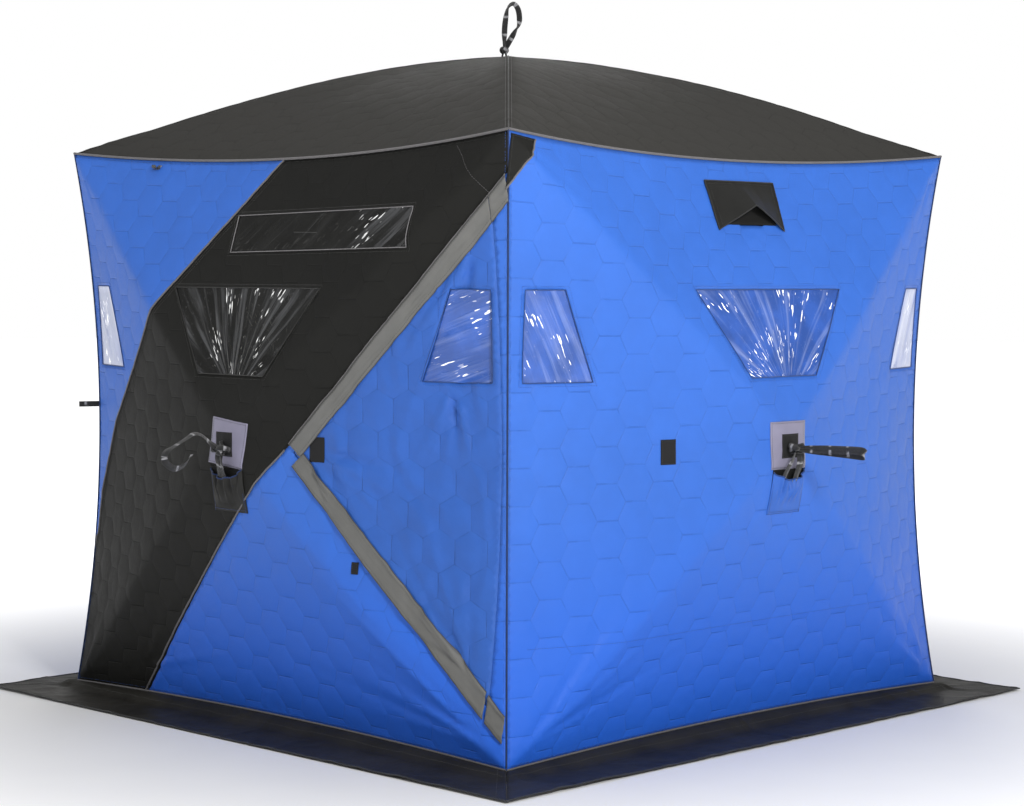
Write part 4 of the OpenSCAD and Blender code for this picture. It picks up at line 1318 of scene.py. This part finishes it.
class SHELTER_OT_hoods(Maker, bpy.types.Operator):
    """Makes the stiff hoods over the vents and the net in each vent"""
    bl_idname = "shelter.hoods"
    bl_label = "Vent hoods"

    def make(self, sizes):
        for side in (1, 2, 3):
            tag = SIDES[side]
            i, j = np.meshgrid(np.linspace(-1, 1, 61), np.linspace(0, 1, 31), indexing="ij")
            wide = 0.172 + 0.008 * j
            lower = 1.690 + 0.084 * (1 - np.abs(i)) ** 0.95
            z = lower + (1.853 - lower) * j
            u = wide * i - 0.010
            stand = 0.046 * (1 - np.abs(i) ** 1.6) ** 1.2 * (1 - j) ** 1.2
            lift = 0.0044 + stand + 0.0008 * soft_noise(u * 20, z * 20, 2 + side)
            points = over_wall(side, u, z, lift)
            hood = sheet_mesh(tag + "_hood", points, np.stack([u, z - 1.77], -1))
            wear(hood, finish("hood"), "hood_cloth", "shelter", tag + "_vent")
            thicken(hood, 0.0020)
            facing = set_on_wall(side, 0.0, -MID_Z, 1 - HALF_W)
            ring = np.concatenate([points[::-1, 0], points[0, 1:], points[1:, -1],
                                   points[-1, -2:0:-1]])
            edge = carried(tag + "_hood_edge", ring, facing, round_profile(0.0024, 6), closed=True)
            edge.data.materials.append(finish("dark_piping"))
            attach(edge, "shelter")
            inset = [points[2:-2, 28], points[3, 2:29], points[-4, 2:29]]
            raised = facing * 0.0012
            stitches(tag + "_hood_stitches", [row + raised for row in inset], [facing] * 3,
                     finish("dark_thread"), pitch=sizes.stitch)
            net = corner_grid([(-0.138, 1.708), (0.128, 1.708), (0.128, 1.820),
                               (-0.138, 1.820)], 24, 12)
            piece = sheet_mesh(tag + "_vent_net",
                               over_wall(side, net[..., 0], net[..., 1], 0.0032), net)
            wear(piece, finish("mesh"), "hood_cloth", "shelter")
            thicken(piece, 0.0008)


class SHELTER_OT_straps(Maker, bpy.types.Operator):
    """Makes the knotted pull straps, the peak's loop and the short loops at the edges"""
    bl_idname = "shelter.straps"
    bl_label = "Straps"

    def make(self, sizes):
        for side in range(4):
            way = -1 if side == 0 else 1
            base = wall_point(*wall_place(0.0, 0.975), 0)[2]
            self.pull_strap(side, way, float(base))
        self.peak_loop()

    def ribbon(self, name, path, outward, width=0.024, thick=0.0018, twist=None):
        """Webbing along a path. The section turns by the twist, in radians, along the way."""
        path = resample(np.asarray(path, float), 0.004)
        count = len(path)
        turn = np.zeros(count) if twist is None else np.interp(
            np.linspace(0, 1, count), np.linspace(0, 1, len(twist)), twist)
        flat = tape_profile(width, thick)
        c, s = np.cos(turn)[:, None], np.sin(turn)[:, None]
        profile = np.stack([flat[:, 0] * c - flat[:, 1] * s, flat[:, 0] * s + flat[:, 1] * c], -1)
        made = carried(name, path, np.asarray(outward, float), profile)
        made.data.materials.append(finish("webbing"))
        return made

    def knot(self, name, centre, size, axis, stretch=(1.0, 1.0, 1.0)):
        """A tight overhand knot: webbing along a trefoil, its section pinched to an oval."""
        a = np.linspace(0, 2 * math.pi, 97)[:-1]
        curve = np.stack([np.sin(a) + 2 * np.sin(2 * a), np.cos(a) - 2 * np.cos(2 * a),
                          -1.3 * np.sin(3 * a)], -1) * np.array(stretch) * size / 3.6
        turn = np.array(Vector(axis).to_track_quat("Z", "Y").to_matrix())
        curve = curve @ turn.T + np.asarray(centre)
        outward = curve - np.asarray(centre)
        outward = outward / np.linalg.norm(outward, axis=1, keepdims=True)
        made = carried(name, curve, outward, round_profile(0.0085, 12, 0.42), closed=True)
        made.data.materials.append(finish("webbing"))
        return made

    def smooth_path(self, points, count=60):
        """A smooth curve through a few points, by Catmull-Rom spans worked out as arrays."""
        p = np.asarray(points, float)
        p = np.concatenate([2 * p[:1] - p[1:2], p, 2 * p[-1:] - p[-2:-1]])
        at = np.linspace(0, len(p) - 3 - 1e-6, count)
        k = at.astype(int)
        f = (at - k)[:, None]
        a, b, c, d = p[k], p[k + 1], p[k + 2], p[k + 3]
        return 0.5 * (2 * b + (c - a) * f + (2 * a - 5 * b + 4 * c - d) * f ** 2
                      + (3 * b - a - 3 * c + d) * f ** 3)

    def pull_strap(self, side, way, base):
        """Webbing out of the slot, a knot, a loop that stands out and two legs that hang
        into the pocket. On the door's wall the loop is turned down at its end."""
        tag = SIDES[side]

        def at(u, z, out):
            return set_on_wall(side, u, z - MID_Z, base + out)

        facing = set_on_wall(side, 0.0, -MID_Z, 1 - HALF_W)
        knot_at = at(-0.006, 0.972, 0.032) if side else at(0.014, 0.960, 0.026)
        root = self.smooth_path([at(0, 0.978, 0.003), at(0, 0.976, 0.016), knot_at])
        up = np.array((0.0, 0.0, 1.0))
        if side:
            loop = [(-0.006, 0.972, 0.032), (0.006, 0.971, 0.085), (0.014, 0.973, 0.150),
                    (0.020, 0.974, 0.220), (0.023, 0.974, 0.268), (0.027, 0.970, 0.279),
                    (0.031, 0.961, 0.279), (0.035, 0.957, 0.268), (0.030, 0.960, 0.220),
                    (0.022, 0.964, 0.150), (0.010, 0.968, 0.085), (-0.004, 0.971, 0.034)]
            twist = [0.4, 1.2, 1.5, 1.571, 1.571, 1.571, 1.571, 1.571, 1.571, 1.5, 1.2, 0.4]
            wide = 0.027
        else:
            loop = [(0.058, 0.024), (0.090, 0.050), (0.121, 0.057), (0.155, 0.041),
                    (0.200, 0.019), (0.225, 0.007), (0.236, -0.010), (0.231, -0.031),
                    (0.198, -0.053), (0.159, -0.042), (0.130, -0.010)]
            loop = [(0.014, 0.960, 0.026)] + [(0.004 - out * 0.06, 0.960 + rise, out)
                                              for out, rise in loop]
            twist = [1.1, 1.0, 0.7, 0.4, 0.1, 0.0, 0.1, 0.8, 1.3, 1.1, 0.8, 0.2]
            wide = 0.022
        path = self.smooth_path([at(*place) for place in loop], 140)
        leg_rows = ([(-0.022, 0.946, 0.034), (-0.033, 0.916, 0.025), (-0.037, 0.886, 0.010),
                     (-0.036, 0.858, 0.000)],
                    [(0.010, 0.946, 0.036), (0.017, 0.916, 0.028), (0.022, 0.886, 0.012),
                     (0.022, 0.858, 0.001)]) if side else (
                    [(0.012, 0.936, 0.032), (0.004, 0.910, 0.024), (-0.010, 0.884, 0.010),
                     (-0.016, 0.858, 0.000)],
                    [(0.022, 0.936, 0.034), (0.020, 0.908, 0.026), (0.010, 0.884, 0.012),
                     (0.004, 0.858, 0.001)])
        legs = [self.smooth_path([knot_at] + [at(*place) for place in row])
                for row in leg_rows]
        parts = [self.ribbon("loop", path, up, wide, twist=twist),
                 self.ribbon("root", root, up, twist=[1.571, 1.3]),
                 self.ribbon("leg", legs[0], facing, 0.027, twist=[0.7, 0.2, 0.0]),
                 self.ribbon("other", legs[1], facing, 0.027, twist=[-0.7, -0.3, 0.1]),
                 self.knot("knot", knot_at, 0.027, facing, (1.25, 0.65, 2.0))]
        piece = joined(tag + "_pull_strap", parts)
        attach(piece, "shelter")
        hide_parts("pull_straps")

    def peak_loop(self):
        """The strap at the peak: a knot on two short ends, with a leaning loop above it whose
        webbing turns edge-on at its ends and at one side."""
        foot = float(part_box("roof_strap")[0][2])
        across = np.array((math.cos(math.pi / 4), math.sin(math.pi / 4), 0.0))
        side = np.cross(across, (0, 0, 1))
        knot_at = across * -0.014 + (0, 0, foot + 0.024)
        shape = [(0, 0), (0.000, 0.022), (0.001, 0.080), (0.006, 0.125), (0.012, 0.152),
                 (0.022, 0.165), (0.036, 0.168), (0.050, 0.148), (0.055, 0.118), (0.052, 0.092),
                 (0.038, 0.066), (0.016, 0.028), (0, 0)]
        loop = [knot_at + across * dx + (0, 0, dz) + side * 0.004 * math.sin(dz * 40)
                for dx, dz in shape]
        parts = [self.ribbon("loop", self.smooth_path(loop, 150), side, 0.021,
                             twist=[1.2, 0.9, 0.2, 0.1, 0.5, 1.2, 0.5, 0.2, 0.3, 1.35, 0.4,
                                     0.1, 0.5])]
        for lean in (-1, 1):
            end = self.smooth_path([knot_at, knot_at + across * lean * 0.005 - (0, 0, 0.012),
                                    knot_at + across * lean * 0.008 - (0, 0, 0.026)], 16)
            parts.append(self.ribbon("end", end, side, 0.007, 0.0016))
        parts.append(self.knot("knot", knot_at, 0.017, (0, 0, 1)))
        piece = joined("peak_strap", parts)
        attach(piece, "shelter")
        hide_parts("roof_strap")
        self.small_loops()

    def small_loops(self):
        """The short loop by the left corner's seam and the folded one under the front eave."""
        start = float(wall_point(*wall_place(1.040, 1.058), 0)[2])
        foot = set_on_wall(3, 1.040, 1.058 - MID_Z, start + 0.001)
        lean = set_on_wall(3, 1.040 + 0.060, 1.056 - MID_Z, start + 0.063)
        side = (lean - foot) / np.linalg.norm(lean - foot)
        cross = np.cross(side, (0, 0, 1))
        ring = [foot, foot + side * 0.035 + cross * 0.004, lean + cross * 0.004,
                lean + side * 0.004, lean - cross * 0.004, foot + side * 0.035 - cross * 0.004,
                foot + side * 0.002 - cross * 0.001]
        tie = self.ribbon("corner_loop", self.smooth_path(ring, 60), cross, 0.020)
        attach(tie, "shelter")
        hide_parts("corner_strap")
        edge = over_wall(0, np.array([-0.653]), np.array([1.918]), 0.004)[0]
        fold = [edge + step for step in ((-0.020, 0.001, 0.006), (-0.008, -0.008, -0.004),
                                         (0.010, -0.009, -0.006), (0.022, -0.002, 0.004),
                                         (0.012, -0.005, -0.010), (-0.012, -0.005, -0.009))]
        tie = self.ribbon("eave_loop", self.smooth_path(fold, 50), (0, 0, 1.0), 0.016)
        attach(tie, "shelter")


class SHELTER_OT_skirt(Maker, bpy.types.Operator):
    """Makes the four sides of the snow skirt, creased and lying on the ground"""
    bl_idname = "shelter.skirt"
    bl_label = "Snow skirt"

    def make(self, sizes):
        rows, columns = 181, 25
        i, k = np.meshgrid(np.linspace(-1, 1, rows), np.linspace(0, 1, columns), indexing="ij")
        width = SKIRT_REACH - HALF_W
        for side in range(4):
            name = SIDES[side] + "_skirt"
            hem = HEM_IN * (1 - i * i)
            out = -hem - 0.002 + (width + hem + 0.002) * k
            half = HALF_W - CLOTH_T * (1 - k) + (SKIRT_REACH - HALF_W) * k
            x, y = half * i, -(HALF_W + out)
            fall = (HEM_Z + HEM_UP * (1 - i * i) - 0.004) * (1 - smooth(k / 0.30))
            for _ in range(side):
                x, y = -y, x
            lift = self.creases(x, y, sizes.skirt_fold) * smooth(k / 0.12)
            z = np.maximum(fall, 0.0) + lift + 0.0004
            points = np.stack([x, y, z], -1)
            piece = sheet_mesh(name + "_cloth", points[:, ::-1],
                               np.stack([i * HALF_W, k * width], -1)[:, ::-1])
            wear(piece, finish("skirt"), "skirt_cloth", "shelter", name)
            thicken(piece, 0.0022, 1.0)
            spread_flat(piece, 2 * SKIRT_REACH, width + 0.06)
            lines = [points[:, -2] + (0, 0, 0.0026), points[:, 4] + (0, 0, 0.0026),
                     points[-1] + (0, 0, 0.0026), points[-4] + (0, 0, 0.0026)]
            stitches(name + "_stitches", lines, [np.array((0.0, 0.0, 1.0))] * 4,
                     finish("dark_thread"), pitch=0.010, radius=0.0011)
            hem_tube = carried(name + "_rolled_hem", points[:, -1] + (0, 0, 0.0022),
                               (0.0, 0.0, 1.0), round_profile(0.0030, 6, 0.7))
            hem_tube.data.materials.append(finish("dark_piping"))
            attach(hem_tube, "shelter")

    def creases(self, x, y, depth):
        """Heights that depend on the place alone, so that sides meet: slow waves, folds that
        fan out round each corner of the walls, and sharp little creases."""
        slow = soft_noise(x * 2.6 + 11, y * 2.6 + 5, 71) * 0.5 + 0.5
        cx, cy = np.sign(x) * HALF_W, np.sign(y) * HALF_W
        reach = np.hypot(x - cx, y - cy)
        angle = np.arctan2(y - cy, x - cx)
        fans = (soft_noise(angle * 3.4 + 9, reach * 3, 72) * 0.5 + 0.5) * np.exp(-reach / 0.35)
        a, b = x * 0.8 + y * 0.6, y * 0.8 - x * 0.6
        ridge = 1 - np.abs(soft_noise(a * 5, b * 8, 73)) * 3.2
        ridge = np.maximum(ridge, 1 - np.abs(soft_noise(b * 6, a * 6, 74)) * 4)
        return depth * (0.7 * slow + 1.1 * fans + 0.42 * np.clip(ridge, 0, 1) ** 1.4)


class SHELTER_OT_seams(Maker, bpy.types.Operator):
    """Makes the piping and stitches along the eaves, corners, hem, sash and roof ridges"""
    bl_idname = "shelter.seams"
    bl_label = "Seams"

    def make(self, sizes):
        run = np.linspace(-1, 1, 201)
        one = np.ones_like(run)
        for side in range(4):
            tag = SIDES[side]
            facing = set_on_wall(side, 0.0, -MID_Z, 1 - HALF_W)
            out = facing + (0, 0, 0.8)
            eave = set_on_wall(side, *wall_point(run, one, 0.0015))
            self.tube(tag + "_eave_piping", eave + (0, 0, 0.0015), out, sizes.piping, "piping")
            hem = set_on_wall(side, *wall_point(run, -one, 0.001))
            self.tube(tag + "_hem_piping", hem, facing, sizes.piping * 0.8, "piping")
            corner = set_on_wall(side, *wall_point(one, run, 0.001))
            diagonal = facing + set_on_wall((side + 1) % 4, 0.0, -MID_Z, 1 - HALF_W)
            # Painted shadow: this corner tube is partly piping and partly painted shade in the
            # seam's fold.
            self.tube(tag + "_corner_seam", corner, diagonal, sizes.piping * 0.6, "seam")
            rows = []
            for s, t in ((run, one * 0.988), (one * 0.991, run), (-one * 0.991, run),
                         (run, one * -0.988)):
                relief = wall_relief(side, s, t) + 0.0004
                rows.append(set_on_wall(side, *wall_point(s, t, relief)))
            dark = rows[:1] if side == 0 else []
            stitches(tag + "_seam_stitches", rows[len(dark):], [facing] * (4 - len(dark)),
                     finish("blue_thread"), pitch=sizes.stitch, radius=0.0006)
            if dark:
                stitches("front_eave_stitches", dark, [facing], finish("dark_thread"),
                         pitch=sizes.stitch, radius=0.0006)
        for k, (sx, sy) in enumerate(((1, -1), (1, 1), (-1, 1), (-1, -1))):
            r = np.linspace(0.018, 1, 121)
            x, y, up = roof_point(sx * r, sy * r, roof_relief(sx * r, sy * r) + 0.0006)
            path = np.stack([x, y, EAVE_Z + up], -1)
            self.tube(f"ridge_seam_{k}", path, (0.0, 0.0, 1.0), sizes.piping * 0.55,
                      "dark_piping")
            step = np.array((sy, -sx, 0.0)) * 0.007
            stitches(f"ridge_stitches_{k}", [path + step, path - step],
                     [np.array((0.0, 0.0, 1.0))] * 2, finish("thread"), pitch=sizes.stitch)
        self.sash_lines(sizes)

    def tube(self, name, path, outward, radius, kind):
        made = carried(name, path, outward, round_profile(radius, 8))
        made.data.materials.append(finish(kind))
        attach(made, "shelter")
        return made

    def sash_lines(self, sizes):
        """Piping on the sash's two edges, double stitches and the arcs at its top corner."""
        facing = np.array((0.0, -1.0, 0.0))
        far = [(0.012, 1.921)] + SASH_FAR[1:-1]
        near = [(-0.728, 0.036), (0.268, 0.971)]
        for tag, line in (("far", far), ("near", near)):
            places = dense(line, 0.012)
            path = over_wall(0, places[:, 0], places[:, 1], 0.0012)
            self.tube(f"sash_{tag}_piping", path, facing, sizes.piping * 0.75, "piping")
            rows = []
            for gap in (0.010, 0.017):
                places = dense([(u + gap, z - gap if tag == "far" else z + gap)
                                for u, z in line], 0.012)
                rows.append(over_wall(0, places[:, 0], places[:, 1], 0.0008))
            stitches(f"sash_{tag}_stitches", rows, [facing] * 2, finish("dark_thread"),
                     pitch=sizes.stitch)
        fold = dense([(FOLD_U + 0.006, 0.240), (FOLD_U + 0.006, 1.700)], 0.012)
        row = over_wall(0, fold[:, 0], fold[:, 1], 0.0004)
        stitches("fold_stitches", [row], [facing], finish("blue_thread"), pitch=sizes.stitch,
                 radius=0.0007)
        arc = dense([(0.891, 1.935), (0.931, 1.901), (0.989, 1.843), (1.040, 1.791)], 0.012)
        row = over_wall(0, arc[:, 0], arc[:, 1], 0.0006)
        stitches("sash_corner_stitches", [row], [facing], finish("thread"), pitch=sizes.stitch,
                 radius=0.0007)
        low = dense([(-1.02, 0.388), (1.03, 0.388)], 0.012)
        for side in (1, 2, 3):
            row = over_wall(side, low[:, 0], low[:, 1], 0.0006)
            stitches(f"{SIDES[side]}_low_stitches", [row],
                     [set_on_wall(side, 0.0, -MID_Z, 1 - HALF_W)], finish("blue_thread"),
                     pitch=sizes.stitch)


class SHELTER_OT_frame(Maker, bpy.types.Operator):
    """Gives the rods, hubs and corner fittings their finishes"""
    bl_idname = "shelter.frame"
    bl_label = "Rods and hubs"

    def make(self, sizes):
        for node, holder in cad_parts.items():
            kind = ("rod" if node.endswith("rods") else "plastic"
                    if node.endswith(("hub", "corners")) else None)
            if kind:
                holder = holder if isinstance(holder, bpy.types.Object) else bpy.data.objects[node]
                holder.data.materials.clear()
                holder.data.materials.append(finish(kind))


OPERATORS = (SHELTER_OT_stage, SHELTER_OT_plain_walls, SHELTER_OT_door_wall, SHELTER_OT_roof,
             SHELTER_OT_windows, SHELTER_OT_window_edges, SHELTER_OT_flaps,
             SHELTER_OT_hub_fittings, SHELTER_OT_hoods, SHELTER_OT_straps, SHELTER_OT_skirt,
             SHELTER_OT_seams, SHELTER_OT_frame)


class SHELTER_PT_parts(bpy.types.Panel):
    """Lists the sizes, the colours and a button for each group of pieces"""
    bl_idname = "SHELTER_PT_parts"
    bl_label = "Pop-up shelter"
    bl_space_type = "VIEW_3D"
    bl_region_type = "UI"
    bl_category = "Shelter"

    def draw(self, context):
        for group in (context.scene.shelter_sizes, context.scene.shelter_colours):
            column = self.layout.column()
            for name in group.__annotations__:
                column.prop(group, name)
        for operator in OPERATORS:
            self.layout.operator(operator.bl_idname)


CLASSES = (ShelterSizes, ShelterColours) + OPERATORS + (SHELTER_PT_parts,)


def register():
    for made in CLASSES:
        bpy.utils.register_class(made)
    bpy.types.Scene.shelter_sizes = bpy.props.PointerProperty(type=ShelterSizes)
    bpy.types.Scene.shelter_colours = bpy.props.PointerProperty(type=ShelterColours)


def unregister():
    del bpy.types.Scene.shelter_sizes
    del bpy.types.Scene.shelter_colours
    for made in reversed(CLASSES):
        bpy.utils.unregister_class(made)


def main():
    """Makes every piece."""
    register()
    for operator in OPERATORS:
        group, name = operator.bl_idname.split(".")
        getattr(getattr(bpy.ops, group), name)()
    bpy.context.view_layer.update()


if __name__ == "__main__":
    main()
